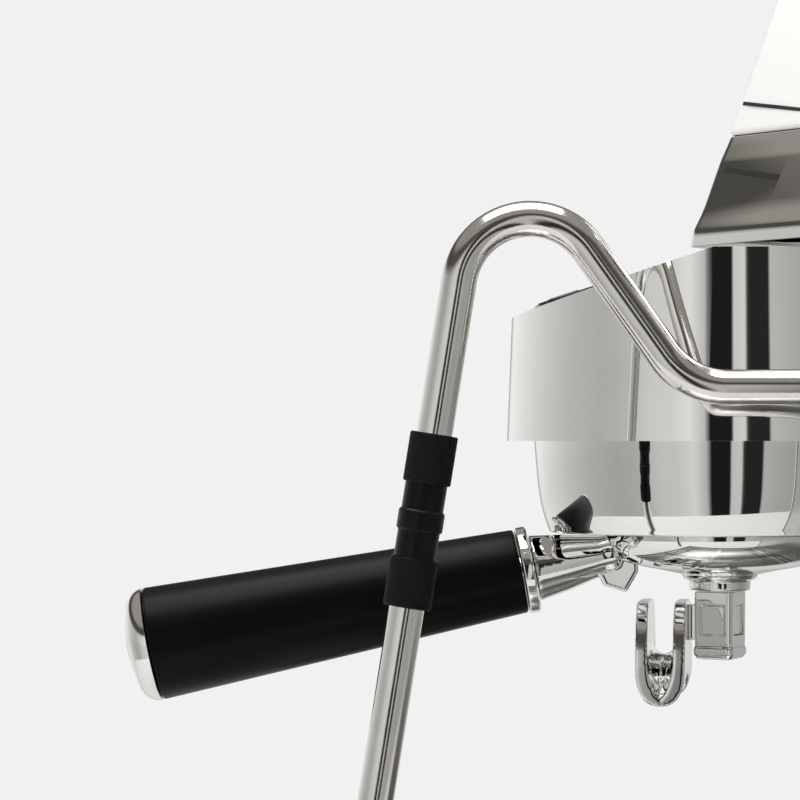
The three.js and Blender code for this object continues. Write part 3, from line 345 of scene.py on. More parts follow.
def finish(name, colour, roughness, metallic=0.0, mottle=0.03, mottle_size=30.0, grain=0.05,
           grain_size=0.4, stretch=(1, 1, 1), uneven=0.04, worn=0.0, coat=0.0, specular=0.5,
           transmission=0.0, ior=1.5):
    """A surface with patchy colour, uneven polish, fine relief and lighter edges; sizes in millimetres."""
    made = bpy.data.materials.new(name)
    made.use_nodes = True
    nodes, links = made.node_tree.nodes, made.node_tree.links
    shader = nodes["Principled BSDF"]
    shader.inputs["Metallic"].default_value = metallic
    shader.inputs["Coat Weight"].default_value = coat
    shader.inputs["Specular IOR Level"].default_value = specular
    shader.inputs["Transmission Weight"].default_value = transmission
    shader.inputs["IOR"].default_value = ior

    place = nodes.new("ShaderNodeTexCoord")
    spread = nodes.new("ShaderNodeMapping")
    spread.inputs["Scale"].default_value = stretch
    links.new(place.outputs["Object"], spread.inputs["Vector"])

    patches = nodes.new("ShaderNodeTexNoise")
    patches.inputs["Scale"].default_value = 1 / (mottle_size * MM)
    patches.inputs["Detail"].default_value = 5
    links.new(spread.outputs["Vector"], patches.inputs["Vector"])
    shade = nodes.new("ShaderNodeValToRGB")
    shade.color_ramp.elements[0].position = 0.3
    shade.color_ramp.elements[1].position = 0.7
    shade.color_ramp.elements[0].color = (*[c * (1 - mottle) for c in colour], 1)
    shade.color_ramp.elements[1].color = (*[min(1, c * (1 + mottle)) for c in colour], 1)
    links.new(patches.outputs["Fac"], shade.inputs["Fac"])
    tint = shade.outputs["Color"]
    if worn:
        edges = nodes.new("ShaderNodeNewGeometry")
        rubbed = nodes.new("ShaderNodeMapRange")
        rubbed.inputs["From Min"].default_value = 0.51
        rubbed.inputs["From Max"].default_value = 0.6
        rubbed.inputs["To Max"].default_value = worn
        links.new(edges.outputs["Pointiness"], rubbed.inputs["Value"])
        lighten = nodes.new("ShaderNodeMix")
        lighten.data_type = "RGBA"
        lighten.inputs["B"].default_value = (*[min(1, c * 1.6 + 0.06) for c in colour], 1)
        links.new(rubbed.outputs["Result"], lighten.inputs["Factor"])
        links.new(tint, lighten.inputs["A"])
        tint = lighten.outputs["Result"]
    links.new(tint, shader.inputs["Base Color"])

    relief = nodes.new("ShaderNodeTexNoise")
    relief.inputs["Scale"].default_value = 1 / (grain_size * MM)
    relief.inputs["Detail"].default_value = 3
    links.new(spread.outputs["Vector"], relief.inputs["Vector"])
    polish = nodes.new("ShaderNodeMapRange")
    polish.inputs["To Min"].default_value = max(0.0, roughness - uneven)
    polish.inputs["To Max"].default_value = roughness + uneven
    links.new(patches.outputs["Fac"], polish.inputs["Value"])
    links.new(polish.outputs["Result"], shader.inputs["Roughness"])
    bump = nodes.new("ShaderNodeBump")
    bump.inputs["Strength"].default_value = grain
    bump.inputs["Distance"].default_value = 0.1 * MM
    links.new(relief.outputs["Fac"], bump.inputs["Height"])
    links.new(bump.outputs["Normal"], shader.inputs["Normal"])
    return made


CHROME = finish("chrome", (0.9, 0.9, 0.885), 0.025, 1.0, mottle=0.01, grain=0.004, grain_size=6, uneven=0.015)
WAND_STEEL = finish("wand_steel", (0.83, 0.81, 0.78), 0.13, 1.0, mottle=0.03, mottle_size=8, grain=0.03,
                    grain_size=0.8, uneven=0.04)
BRUSHED = finish("brushed_stainless", (0.64, 0.64, 0.63), 0.3, 1.0, mottle=0.05, mottle_size=12, grain=0.16,
                 grain_size=0.5, stretch=(0.05, 1, 1), uneven=0.07)
PLAIN_STEEL = finish("plain_stainless", (0.66, 0.66, 0.65), 0.32, 1.0, mottle=0.05, grain=0.1, uneven=0.08)
WHITE_PAINT = finish("white_paint", (0.87, 0.87, 0.86), 0.3, mottle=0.01, mottle_size=60, grain=0.12,
                     grain_size=1.4, uneven=0.04, coat=0.25)
GRIP = finish("satin_grip", (0.0022, 0.0022, 0.0025), 0.36, mottle=0.2, mottle_size=25, grain=0.1,
              grain_size=0.35, uneven=0.04, worn=0.05, specular=0.12)
SLEEVE = finish("sleeve", (0.003, 0.003, 0.003), 0.34, mottle=0.25, mottle_size=4, grain=0.1,
                grain_size=0.3, worn=0.1, uneven=0.06, specular=0.2)
PLASTIC = finish("black_plastic", (0.02, 0.02, 0.021), 0.4, mottle=0.15, grain=0.25, grain_size=0.35,
                 uneven=0.06, worn=0.15)
BLACK_GLASS = finish("black_glass", (0.006, 0.006, 0.007), 0.06, mottle=0.2, grain=0.01, uneven=0.02,
                     coat=0.6)
RUBBER = finish("rubber", (0.025, 0.025, 0.025), 0.75, mottle=0.25, mottle_size=6, grain=0.4,
                grain_size=0.5, worn=0.2)
BRASS = finish("brass", (0.62, 0.47, 0.22), 0.34, 1.0, mottle=0.14, mottle_size=14, grain=0.25,
               grain_size=0.7, uneven=0.1)
COPPER = finish("copper", (0.72, 0.36, 0.22), 0.3, 1.0, mottle=0.16, mottle_size=16, grain=0.12, uneven=0.1)
DARK_PAINT = finish("dark_paint", (0.06, 0.063, 0.068), 0.5, mottle=0.1, grain=0.4, grain_size=0.8, worn=0.15)
CLEAR = finish("clear_plastic", (0.9, 0.95, 0.96), 0.08, mottle=0.02, grain=0.02, grain_size=3,
               uneven=0.03, transmission=0.95, ior=1.46)
LENS = finish("gauge_lens", (0.97, 0.98, 0.98), 0.02, mottle=0.01, grain=0.004, grain_size=4,
              uneven=0.01, transmission=1.0, ior=1.45)
SILICONE = finish("silicone", (0.74, 0.75, 0.73), 0.5, mottle=0.06, grain=0.1, grain_size=1.2, uneven=0.08)
RED = finish("needle_red", (0.55, 0.035, 0.03), 0.4, mottle=0.08, grain=0.1)
DIAL = finish("dial_face", (0.85, 0.84, 0.8), 0.5, mottle=0.02, grain=0.05)
# Dark ink for printed marks; the same colour also paints the shade of the slots on the hood nose.
INK_AND_SLOT_SHADE = finish("ink_and_slot_shade", (0.02, 0.02, 0.022), 0.55, mottle=0.2, grain=0.08)
WHITE_MARK = finish("white_mark", (0.82, 0.82, 0.8), 0.5, mottle=0.04, grain=0.08)
LAMP = finish("indicator", (0.75, 0.76, 0.74), 0.25, mottle=0.05, grain=0.05, coat=0.5)
FLOOR = finish("studio_floor", (0.75, 0.75, 0.742), 0.7, mottle=0.01, mottle_size=200, grain=0.05,
               grain_size=2)


# ---------------------------------------------------------------- brew group

COVER_FLARE = math.tan(math.radians(2.3))
COVER_TOP = 56.7
COVER_FRONT_TOP = 38.4
COVER_SLANT = math.tan(math.radians(18))
COVER_WALL = 2
NECK_HALF = 24
NECK_HEIGHT = 46


def drum(wall, bottom):
    """The cover's filled form, a tapered drum with a slanted front top, shrunk by a wall."""
    top = COVER_TOP - wall
    outline = [(0, bottom), (COVER_RADIUS - bottom * COVER_FLARE - wall, bottom),
               (COVER_RADIUS - top * COVER_FLARE - wall, top), (0, top)]
    knee = -COVER_RADIUS + (COVER_TOP - COVER_FRONT_TOP) / COVER_SLANT + 1.5
    level = top if not wall else COVER_TOP - wall / math.cos(math.atan(COVER_SLANT))
    reach = 90
    above = [(knee, level), (knee, reach), (-reach, reach), (-reach, level - (knee + reach) * COVER_SLANT)]
    wedge = moved(slab(above, -reach, reach), TO_X)
    return combined(turned(outline, 192), [wedge])


def neck_slot():
    return block((-NECK_HALF, NECK_HALF), (28, 75), (-GAP, NECK_HEIGHT))


BUTTON_RADIUS = 6
to_slant = AT_GROUP.inverted() @ AT_BUTTON
to_slant.translation /= MM
button_hole = moved(turned([(0, -6), (BUTTON_RADIUS + GAP, -6), (BUTTON_RADIUS + GAP, 4), (0, 4)], 48),
                    to_slant)
cover = combined(drum(0, 0), [drum(COVER_WALL, -1), neck_slot(), button_hole])
piece("group_cover_shell", cover, CHROME, "root", AT_GROUP, ["group_cover"], edge=0.5)

BELL_TOP = 58
BELL_HEIGHT = 27.6
BELL_WALL = 1.6


def bell_radius(depth):
    """The skirt's radius at a depth below the cover's edge: it draws in more and more."""
    share = max(0, depth) / BELL_HEIGHT
    return BELL_TOP - 2.2 * share - 2.4 * share ** 4


depths = [-8] + [BELL_HEIGHT * k / 24 for k in range(25)]
bell_outside = [(bell_radius(d), -d) for d in depths]
bell_lip = arc((bell_outside[-1][0] - BELL_WALL / 2, -BELL_HEIGHT), BELL_WALL / 2, -20, -160, 8)
bell_inside = [(r - BELL_WALL, z) for r, z in reversed(bell_outside)]
bell = turned([*bell_outside, *bell_lip, *bell_inside], 192, ring=True)
piece("group_bell_skirt", combined(bell, [neck_slot()]), CHROME, "root", AT_GROUP, ["group_bell"])

PLATE_WIDTH = 44
PLATE_LENGTH = 19
plate = slab(rectangle(PLATE_WIDTH, PLATE_LENGTH, 4), GAP, GAP + 1)
plate_hole = turned([(0, -1), (BUTTON_RADIUS + GAP, -1), (BUTTON_RADIUS + GAP, 4), (0, 4)], 48)
piece("display_glass", combined(plate, [plate_hole]), BLACK_GLASS, "root", AT_BUTTON, ["display_plate"],
      edge=0.25)
lamps = [shifted(turned(eased([(0, 1.2), (0.9, 1.2), (0.9, 1.42), (0, 1.5)], 0.1), 20), x)
         for x in (-16, -12, 12, 16)]
piece("display_lamps", gathered(*lamps), LAMP, "root", AT_BUTTON)

button = turned(eased([(0, -3), (6, -3), (6, 1.7), (4.9, 2.15), (3.6, 1.75), (0, 1.5)], 0.4), 64)
piece("brew_button_cap", button, CHROME, "brew_button", AT_BUTTON, ["brew_button"])


# ---------------------------------------------------------------- portafilter

FERRULE_LENGTH = 4
GRIP_LENGTH = 117
STUD_RADIUS = 5
STUD_LENGTH = 30
COLLAR_BOTTOM = -46.6


bowl_side = curve2((20, -39.8), (35, -38.2), (35, -27.5), 20)
cup_outline = [(0, -41.5), (12, -41.5), *bowl_side, (35, -14.4), (34.5, -13.9), (30, -13.9), (30, -34.5),
               (27, -36),
               (0, -38)]
cup = turned(cup_outline, 160)
hub = turned(eased([(0, -43.2), (11, -43.2), (12.4, -40.8), (0, -40.8)], 0.6), 96)
collar = turned(eased([(0, COLLAR_BOTTOM), (9.5, COLLAR_BOTTOM), (9.5, -42.5), (0, -42.5)], 0.5), 6 * 16)


def ear(middle):
    """A locking ear, half an arc."""
    half = 18
    outline = arc((0, 0), 41.8, middle - half, middle + half, 16) + arc((0, 0), 33.5, middle + half,
                                                                        middle - half, 8)
    return slab(outline, -19.7, -14)


NECK_LENGTH = 31


def handle_neck():
    """The cast neck, flared where it grows out of the cup and swelling towards the ferrule."""
    profile = eased([(0, -NECK_LENGTH), (6.2, -NECK_LENGTH), (6.2, -26), (8.8, -14),
                     (10.2, -FERRULE_LENGTH - 1.4),
                     (10.4, -FERRULE_LENGTH - GAP), (STUD_RADIUS, -FERRULE_LENGTH - GAP),
                     (STUD_RADIUS, STUD_LENGTH), (0, STUD_LENGTH)], 2.5, 8)
    return turned(profile, 96)


def locating_lug():
    """The wedge under the neck that stops the portafilter on a counter."""
    side = eased([(-38, -41.5), (-36.5, -45), (-29.5, -47.2), (-25.6, -40.5), (-26, -37.6), (-34, -35.5)],
                 0.8,
                 3, loop=True)
    return moved(slab(side, -4, 4), TO_X)


to_handle = AT_GROUP.inverted() @ AT_HANDLE
to_handle.translation /= MM
inside = turned([(0, -38), (27, -36), (30, -34.5), (30, -10), (0, -10)], 96)
bowl = combined(cup, [ear(0), ear(180)], "UNION")
piece("portafilter_cup", bowl, CHROME, "portafilter", AT_GROUP, ["portafilter_body"], smooth=28)
casting = combined(combined(hub, [collar, locating_lug(), moved(handle_neck(), to_handle)], "UNION"),
                   [inside])
piece("portafilter_neck", cast(casting, 0.45, 6), CHROME, "portafilter", AT_GROUP, smooth=60)

SPOUT_HALF = 6.55
GUTTER_TURN = math.radians(-9)
SPOUT_TWIST = math.radians(28)
SPOUT_BOTTOM = -68.2
GUTTER_Y = -17.5
GUTTER_WIDTH = 15.3
GUTTER_BORE = 7.8
GUTTER_REACH = 19


def arch(high, low, reach, foot):
    """The saddle seen from the front: its crown in the middle and a lip at each side."""
    rise = low + (foot - low) * 0.1
    return (curve2((-reach, foot), (-reach * 0.62, rise), (0, low))
            + curve2((0, low), (reach * 0.62, rise), (reach, foot))[1:]
            + curve2((reach, foot + 14), (reach * 0.9, high), (reach * 0.45, high))
            + curve2((-reach * 0.45, high), (-reach * 0.9, high), (-reach, foot + 14)))


def trough(half_width, low, high, tip):
    """The gutter seen from the side: two upright walls and a pointed round floor."""
    return ([(GUTTER_Y - half_width, high)]
            + curve2((GUTTER_Y - half_width, low + tip), (GUTTER_Y - half_width, low), (GUTTER_Y, low))
            + curve2((GUTTER_Y, low), (GUTTER_Y + half_width, low), (GUTTER_Y + half_width, low + tip))[1:]
            + [(GUTTER_Y + half_width, high)])


def gutter_channel():
    """The hollow that the coffee runs along: shallow over the crown, a deep pointed V at each lip."""
    rings = []
    for k in range(-16, 17):
        x = k * 1.5
        run = min(1.25, abs(x) / GUTTER_REACH)
        low = -66.6 - 12.8 * run ** 2.1
        tip = 3 + 8.5 * min(1, run)
        half = GUTTER_BORE / 2
        left = curve2((-half, low + tip), (-half * 0.92, low + tip * 0.3), (0, low), 10)
        right = [(-y, z) for y, z in reversed(left[:-1])]
        outline = [(-half, -38), *left, *right, (half, -38)]
        rings.append([(x, GUTTER_Y + y, z) for y, z in outline])
    return lofted(rings)


def spout_casting():
    top = COLLAR_BOTTOM - GAP
    reach = 30
    sides = (GUTTER_Y - GUTTER_WIDTH, GUTTER_Y + GUTTER_WIDTH)
    side = 2 * SPOUT_HALF
    rings = [[(x, y, z) for x, y in rectangle(side - 2 * inset, side - 2 * inset, 1.2)]
             for inset, z in ((2.6, SPOUT_BOTTOM), (0.9, SPOUT_BOTTOM + 0.4), (0, SPOUT_BOTTOM + 1.8),
                              (0, SPOUT_BOTTOM + 3.6), (0.4, SPOUT_BOTTOM + 4.4), (0.3, SPOUT_BOTTOM + 5.2),
                              (0.2, top))]
    panels = [moved(shifted(block((-4.1, 4.1), (SPOUT_HALF - 1, SPOUT_HALF + 1), (-4.6, 4.6)), z=-55.8),
                    Matrix.Rotation(k * math.pi / 2, 4, "Z")) for k in range(4)]
    post = moved(combined(lofted(rings), panels), Matrix.Rotation(-SPOUT_TWIST, 4, "Z"))
    bridge = block((-2.2, 2.2), (GUTTER_Y + GUTTER_BORE / 2 + 1, -3), (-62, -51))
    front_view = moved(slab(arch(-49.7, -72, GUTTER_REACH, -83), -sides[1], -sides[0]), TO_Y)
    side_view = moved(slab(trough(GUTTER_WIDTH / 2, -81.5, -40, 12), -reach, reach), TO_X)
    saddle = combined(front_view, [side_view], "INTERSECT")
    about = Matrix.Translation((0, GUTTER_Y, 0))
    turn = about @ Matrix.Rotation(GUTTER_TURN, 4, "Z") @ about.inverted()
    body = combined(moved(saddle, turn), [bridge], "UNION")
    gutter = cast(combined(body, [moved(gutter_channel(), turn)]), 0.27, 16)
    return gathered(gutter, cast(post, 0.25, 4))


piece("spout_casting", spout_casting(), CHROME, "portafilter", AT_GROUP, ["spout"], smooth=80)

bore = STUD_RADIUS + GAP
ferrule = turned(eased([(bore, -4), (12.9, -4), (13.5, -3.3), (13.5, -0.9), (12.8, -GAP), (bore, -GAP)], 0.5,
                       4,
                       loop=True), 128, ring=True)
piece("handle_ferrule_ring", ferrule, CHROME, "portafilter", AT_HANDLE, ["handle_ferrule"])

GRIP_ROOT = 13.1
GRIP_END = 17.7
grip_outline = eased([(bore, 0), (GRIP_ROOT, 0), (GRIP_END, GRIP_LENGTH), (0, GRIP_LENGTH), (0, 31),
                      (bore, 31)],
                     0.9, 5)
piece("handle_grip_sleeve", turned([*grip_outline, grip_outline[0]], 160), GRIP, "portafilter", AT_HANDLE,
      ["handle_grip"])

CAP_CORNER = 6
CAP_DOME = 8.1
cap_start = GRIP_LENGTH + GAP
cap_corner = arc((GRIP_END - CAP_CORNER, cap_start), CAP_CORNER, 12, 68, 10)
cap = turned([(0, cap_start), (GRIP_END - 0.3, cap_start), (GRIP_END, cap_start + 0.3), *cap_corner,
              (GRIP_END * 0.42, GRIP_LENGTH + CAP_DOME - 0.75),
              (GRIP_END * 0.2, GRIP_LENGTH + CAP_DOME - 0.15),
              (0, GRIP_LENGTH + CAP_DOME)], 128)
piece("handle_cap", cap, CHROME, "portafilter", AT_HANDLE, ["handle_end_cap"], smooth=50)


# ---------------------------------------------------------------- steam wand

WAND_RADIUS = 5
WAND_ROUTE = [(0, 82.7, 0), (0, -19.8, 0), (0, -75.7, 78.4), (0, -111, -141.6)]
wand_path = route(WAND_ROUTE, [22, 20], 24)
piece("wand_pipe", swept(wand_path, WAND_RADIUS, 48), WAND_STEEL, "steam_wand", AT_WAND, ["wand_tube"],
      smooth=60)

leg_top, leg_end = Vector(WAND_ROUTE[2]), Vector(WAND_ROUTE[3])
down = (leg_end - leg_top).normalized()
SLEEVE_TOP = 92.6
SLEEVE_LENGTH = 49
AT_SLEEVE = frame_at(WAND + (leg_top + down * SLEEVE_TOP) * MM, down)


def knurled(radius, z0, z1, turns=36, depth=0.28):
    """A collar cut with a diamond knurl, its two ends chamfered smooth."""
    around = turns * 8
    rows = round((z1 - z0) / (2 * math.pi * radius / around))
    mesh = bmesh.new()
    rings = []
    for row in range(rows + 1):
        z = z0 + (z1 - z0) * row / rows
        edge = min(1, row / 3, (rows - row) / 3)
        ring = []
        for i in range(around):
            across = turns * 2 * math.pi * i / around
            along = turns * (z - z0) / radius
            ridge = abs(math.sin((across + along) / 2)) * abs(math.sin((across - along) / 2))
            r = radius - 0.35 * (1 - edge) - depth * (1 - ridge) * edge
            ring.append(mesh.verts.new((*polar(r, 2 * math.pi * i / around), z)))
        rings.append(ring)
    bridged(mesh, rings)
    mesh.faces.new(rings[0])
    mesh.faces.new(rings[-1])
    return mesh


COLLAR = 6.8
NECK = 5.9
RING = 6.5
waist = turned(eased([(5.2, 12), (NECK, 13), (NECK, 21.5), (RING, 22), (RING, 27), (NECK, 27.5), (NECK, 36),
                      (5.2, 37)], 0.35, 3, loop=True), 96, ring=True)
sleeve = gathered(knurled(COLLAR, 0, 14), waist, knurled(COLLAR, 35, SLEEVE_LENGTH))
piece("wand_grip_sleeve", sleeve, SLEEVE, "steam_wand", AT_SLEEVE, ["wand_sleeve"], smooth=70)

TIP = (leg_end - leg_top).length - SLEEVE_TOP
tip = turned(eased([(0, TIP + GAP), (5.6, TIP + GAP), (5.6, TIP + 7), (3.6, TIP + 12), (0, TIP + 13)], 0.8,
                   5), 96)
jets = [moved(shifted(turned([(0, 0), (0.55, 0), (0.55, 4), (0, 4)], 24), z=TIP + 9),
              Matrix.Rotation(turn, 4, "Z") @ Matrix.Translation((3.2, 0, 0))) for turn in
        [math.pi / 4 + k * math.pi / 2 for k in range(4)]]
piece("wand_nozzle", combined(tip, jets), WAND_STEEL, "steam_wand", AT_SLEEVE, ["wand_tip"])

ball = turned([polar(9, math.radians(t - 90)) for t in range(0, 181, 5)][1:-1], 96)
bmesh.ops.holes_fill(ball, edges=ball.edges, sides=0)
piece("wand_ball_joint", ball, CHROME, "wand_pivot", AT_WAND @ Matrix.Translation((0, BALL_Y * MM, 0)),
      ["wand_ball"])

socket_profile = eased([(9.2, 86.5), (11.5, 86), (13.2, 88), (15, 90), (15, 99.7), (6, 99.7), (6, 97),
                        (9.4, 93.5)],
                       0.6, 4, loop=True)
socket = turned([(r, -y) for r, y in socket_profile], 96, ring=True)
piece("wand_socket_nut", moved(socket, Matrix.Rotation(math.pi / 2, 4, "X")), CHROME, "root", AT_WAND,
      ["wand_socket"])


# ---------------------------------------------------------------- hood

BODY_HALF = 150
NOSE_TIP = -10.6
FLARE = math.radians(35)
SHOULDER_RADIUS = 45
HOOD_LEAN = math.tan(math.radians(19))
HOOD_WALL = 2
RIDGE_EASE = 4
RIDGE_BLEND = 31
SHOULDER_X = BODY_HALF - SHOULDER_RADIUS
SHOULDER_Y = NOSE_TIP + (math.sin(FLARE) * SHOULDER_X + SHOULDER_RADIUS) / math.cos(FLARE)
band_low, band_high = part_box("fascia_band")
hood_low, hood_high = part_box("hood_shell")
TO_GROUP_Y = -GROUP.y / MM
BACK = band_high.y / MM + TO_GROUP_Y
BAND_BOTTOM = band_low.z / MM
BAND_TOP = band_high.z / MM
HOOD_BOTTOM = hood_low.z / MM
HOOD_TOP = hood_high.z / MM
AT_BODY = Matrix.Translation((0, GROUP.y, 0))


def flare_point(inset, along):
    """A point on the right flare's plane, at a distance from where the two planes meet."""
    meeting = NOSE_TIP + inset / math.cos(FLARE)
    return along * math.cos(FLARE), meeting + along * math.sin(FLARE)


def hood_plan(inset, back, ridge=None):
    """The hood's outline: two flares that meet in a ridge at the front, two shoulders and a square back."""
    right = arc((SHOULDER_X, SHOULDER_Y), SHOULDER_RADIUS - inset, math.degrees(FLARE) - 90, 0, 20)
    left = [(-x, y) for x, y in reversed(right)]
    x, y = flare_point(inset, RIDGE_BLEND)
    tip = NOSE_TIP + inset / math.cos(FLARE) if ridge is None else ridge
    nose = eased([(-x, y), (0, tip), (x, y)], RIDGE_EASE, 8)
    return nose + right + [(BODY_HALF - inset, back), (-BODY_HALF + inset, back)] + left


def ridge_at(z):
    """The ridge leans back as the flares do, so it stands a little ahead of where their planes meet."""
    return NOSE_TIP + 0.6 + (z - BAND_BOTTOM) * HOOD_LEAN


def hood_skin(levels, back):
    """The hood's tapered skin through (height, inset added to the taper) levels."""
    rings = []
    for z, extra in levels:
        taper = (z - BAND_BOTTOM) * HOOD_LEAN
        ridge = ridge_at(z) + 0.7 * extra
        rings.append([(x, y, z) for x, y in hood_plan(taper + extra, back - max(0, extra), ridge)])
    return lofted(rings)


def soft_levels(bottom, top, radius, steps=4):
    """Levels from bottom to top whose two ends are rounded over."""
    turns = [math.pi / 2 * k / steps for k in range(steps + 1)]
    low = [(bottom + radius * (1 - math.sin(t)), radius * (1 - math.cos(t))) for t in reversed(turns)]
    high = [(top - radius * (1 - math.sin(t)), radius * (1 - math.cos(t))) for t in turns]
    return low + high


PANEL_INSIDE = 148.2
HOT_WATER_X = -100
HOT_WATER_Y = 80
band_hollow = hood_skin([(BAND_BOTTOM + 2, HOOD_WALL), (BAND_TOP + 5, HOOD_WALL)], BACK)
band_floor = block((-PANEL_INSIDE + 8, PANEL_INSIDE - 8), (106, BACK - 8), (BAND_BOTTOM - 1, BAND_BOTTOM + 3))
spout_hole = shifted(turned([(0, -2), (6.4, -2), (6.4, 4), (0, 4)], 48), HOT_WATER_X, HOT_WATER_Y,
                     BAND_BOTTOM)
LIP = [(1, -0.25), (3.6, -0.85), (4.8, -1.05), (5.4, -1.02), (6.4, -0.85), (8, -0.55), (10, -0.2), (13, 0),
       (18, 0),
       (26, 0), (27, 0.07), (28, 0.2), (31, 0.55)]
TOP_EASE = 0.9
rounded = soft_levels(BAND_BOTTOM, BAND_TOP, 0.5)
band_levels = rounded[:5]
band_levels += [(BAND_BOTTOM + rise, extra) for rise, extra in LIP]
band_levels += [(z, extra + TOP_EASE) for z, extra in rounded[5:]]
band = combined(hood_skin(band_levels, BACK), [band_hollow, band_floor, spout_hole])
piece("fascia_band_chrome", band, CHROME, "root", AT_BODY, ["fascia_band"])

to_body = AT_BODY.inverted()


def in_body(place):
    local = to_body @ place
    local.translation /= MM
    return local


STEM = 4
CASE_RADIUS = 21
BEZEL_RADIUS = 25
SWITCH_WIDTH = 19
SWITCH_HEIGHT = 27
tank_low, tank_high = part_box("water_tank")
tank_x = tank_high.x / MM + 3.5
tank_y = (tank_low.y / MM + TO_GROUP_Y - 3.5, tank_high.y / MM + TO_GROUP_Y + 3.5)
holes = [moved(turned([(0, -8), (STEM + GAP, -8), (STEM + GAP, 8), (0, 8)], 48), in_body(place))
         for place in (AT_STEAM_KNOB, AT_HOT_KNOB)]
holes.append(moved(turned([(0, -8), (CASE_RADIUS + GAP, -8), (CASE_RADIUS + GAP, 8), (0, 8)], 96),
                   in_body(AT_GAUGE)))
holes.append(moved(slab(rectangle(SWITCH_WIDTH + 2 * GAP, SWITCH_HEIGHT + 2 * GAP, 0.6), -8, 8),
                   in_body(AT_SWITCH)))
holes.append(block((-tank_x, tank_x), tank_y, (HOOD_TOP - 5, HOOD_TOP + 5)))
holes.append(block((-50, 50), (110, 190), (HOOD_TOP - 5, HOOD_TOP + 5)))
hood_hollow = hood_skin([(BAND_TOP - 1, HOOD_WALL), (HOOD_TOP - HOOD_WALL, HOOD_WALL)], BACK)
hood = combined(hood_skin(soft_levels(HOOD_BOTTOM, HOOD_TOP, 2.2), BACK), [hood_hollow, *holes])
piece("hood_cover", hood, WHITE_PAINT, "root", AT_BODY, ["hood_shell"])

# Slim dark inlays run along each flare from near the ridge, in the chrome band and in the white hood; their
# darkness is painted shade standing for slots.
SLOT_LENGTH = 26
SLOT_DROP = 4.3


def slot_shade_strip(side, height, start, tall):
    """A thin dark inlay that lies on a leaning flare, from a distance past the ridge; its dark colour is
    painted shade for a slot.
    """
    rings = []
    for along in (start, start + SLOT_LENGTH):
        ring = []
        for rise, depth in ((-tall / 2, -0.4), (tall / 2, -0.4), (tall / 2, 0.15), (-tall / 2, 0.15)):
            z = height + rise - SLOT_DROP * (along - start) / SLOT_LENGTH
            x, y = flare_point((z - BAND_BOTTOM) * HOOD_LEAN, RIDGE_BLEND)
            share = along / RIDGE_BLEND
            out = Vector((y - ridge_at(z), -x)).normalized() * depth
            ring.append((side * (x * share + out.x), ridge_at(z) * (1 - share) + y * share + out.y, z))
        rings.append(ring)
    return lofted(rings)


slot_shade_strips = [slot_shade_strip(side, height, start, tall) for side in (-1, 1)
         for height, start, tall in ((BAND_TOP - 10.5, 4.5, 1.7), (HOOD_BOTTOM + 10, 2.5, 1.1))]
# These dark strips are painted shade standing for slots, not cuts in the hood.
piece("nose_slot_shade", gathered(*slot_shade_strips), INK_AND_SLOT_SHADE, "root", AT_BODY)

TRAY_INSET = 39
tray_low, tray_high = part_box("cup_tray")
tray_bottom = tray_low.z / MM
tray_top = tray_bottom + 2
PAD_FRONT = 117
PAD_BACK = 190
pad = shifted(slab(rectangle(180, PAD_BACK - PAD_FRONT, 8), tray_top - 1, tray_high.z / MM),
              y=(PAD_FRONT + PAD_BACK) / 2)
tray_slots = [shifted(slab(rectangle(40, 6, 2.9), tray_bottom - 1, tray_top + 3), side * 24,
                      PAD_FRONT + 10 + row * 18)
              for row in range(4) for side in (-1, 1)]
tray = combined(combined(slab(hood_plan(TRAY_INSET, 200), tray_bottom, tray_top), [pad], "UNION"), tray_slots)
piece("cup_tray_plate", tray, BRUSHED, "root", AT_BODY, ["cup_tray"], edge=0.4)

rail_low, rail_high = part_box("cup_rail")
RAIL_ROD = 2.5
RAIL_INSET = TRAY_INSET + 7
rail_seat = rail_low.z / MM
rail_z = rail_high.z / MM - RAIL_ROD
rail_x = BODY_HALF - RAIL_INSET
rail_back = 194
rail_nose = NOSE_TIP + RAIL_INSET / math.cos(FLARE)
rail_shoulder = rail_nose + rail_x * math.tan(FLARE)
rail_corners = [(-rail_x, rail_back, rail_seat), (-rail_x, rail_back, rail_z),
                (-rail_x, rail_shoulder, rail_z),
                (0, rail_nose, rail_z), (rail_x, rail_shoulder, rail_z), (rail_x, rail_back, rail_z),
                (rail_x, rail_back, rail_seat)]
rail = [swept(route(rail_corners, [8, 12, 12, 12, 8], 16), RAIL_ROD - 0.02, 32)]
for side in (-1, 1):
    for y in (rail_shoulder + 14, rail_back):
        foot = turned(eased([(0, 0), (4.6, 0), (4.6, 1.2), (2.5, 2.2), (0, 2.2)], 0.4), 48)
        rail.append(shifted(foot, side * rail_x, y, rail_seat))
    post = turned([(0, 0), (RAIL_ROD - 0.02, 0), (RAIL_ROD - 0.02, rail_z - rail_seat),
                   (0, rail_z - rail_seat)], 32)
    rail.append(shifted(post, side * rail_x, rail_shoulder + 14, rail_seat))
piece("cup_rail_rod", gathered(*rail), CHROME, "root", AT_BODY, ["cup_rail"], smooth=50)


# ---------------------------------------------------------------- controls

def fluted(profile, low, high, count=12, depth=0.9):
    """A turned knob whose rim is scalloped for the fingers between two heights."""
    mesh = turned(profile, count * 16)
    for v in mesh.verts:
        radius = math.hypot(v.co.x, v.co.y)
        if radius < 15 or not low <= v.co.z <= high:
            continue
        fade = min(1, (v.co.z - low) / 2, (high - v.co.z) / 2)
        wave = max(0, math.cos(count * math.atan2(v.co.y, v.co.x))) ** 2
        keep = 1 - depth * wave * fade / radius
        v.co.x *= keep
        v.co.y *= keep
    return mesh


KNOB = eased([(0, -16), (STEM, -16), (STEM, 2), (9, 2), (9, 8), (18, 12), (20, 16), (20, 28), (18, 31),
              (0, 31)], 1.6, 5)
knob_side = []
for low, high in zip(KNOB, KNOB[1:]):
    rows = 8 if high[1] - low[1] > 6 and low[0] > 15 else 1
    knob_side += [(low[0] + (high[0] - low[0]) * k / rows, low[1] + (high[1] - low[1]) * k / rows)
                  for k in range(rows)]
knob_side.append(KNOB[-1])


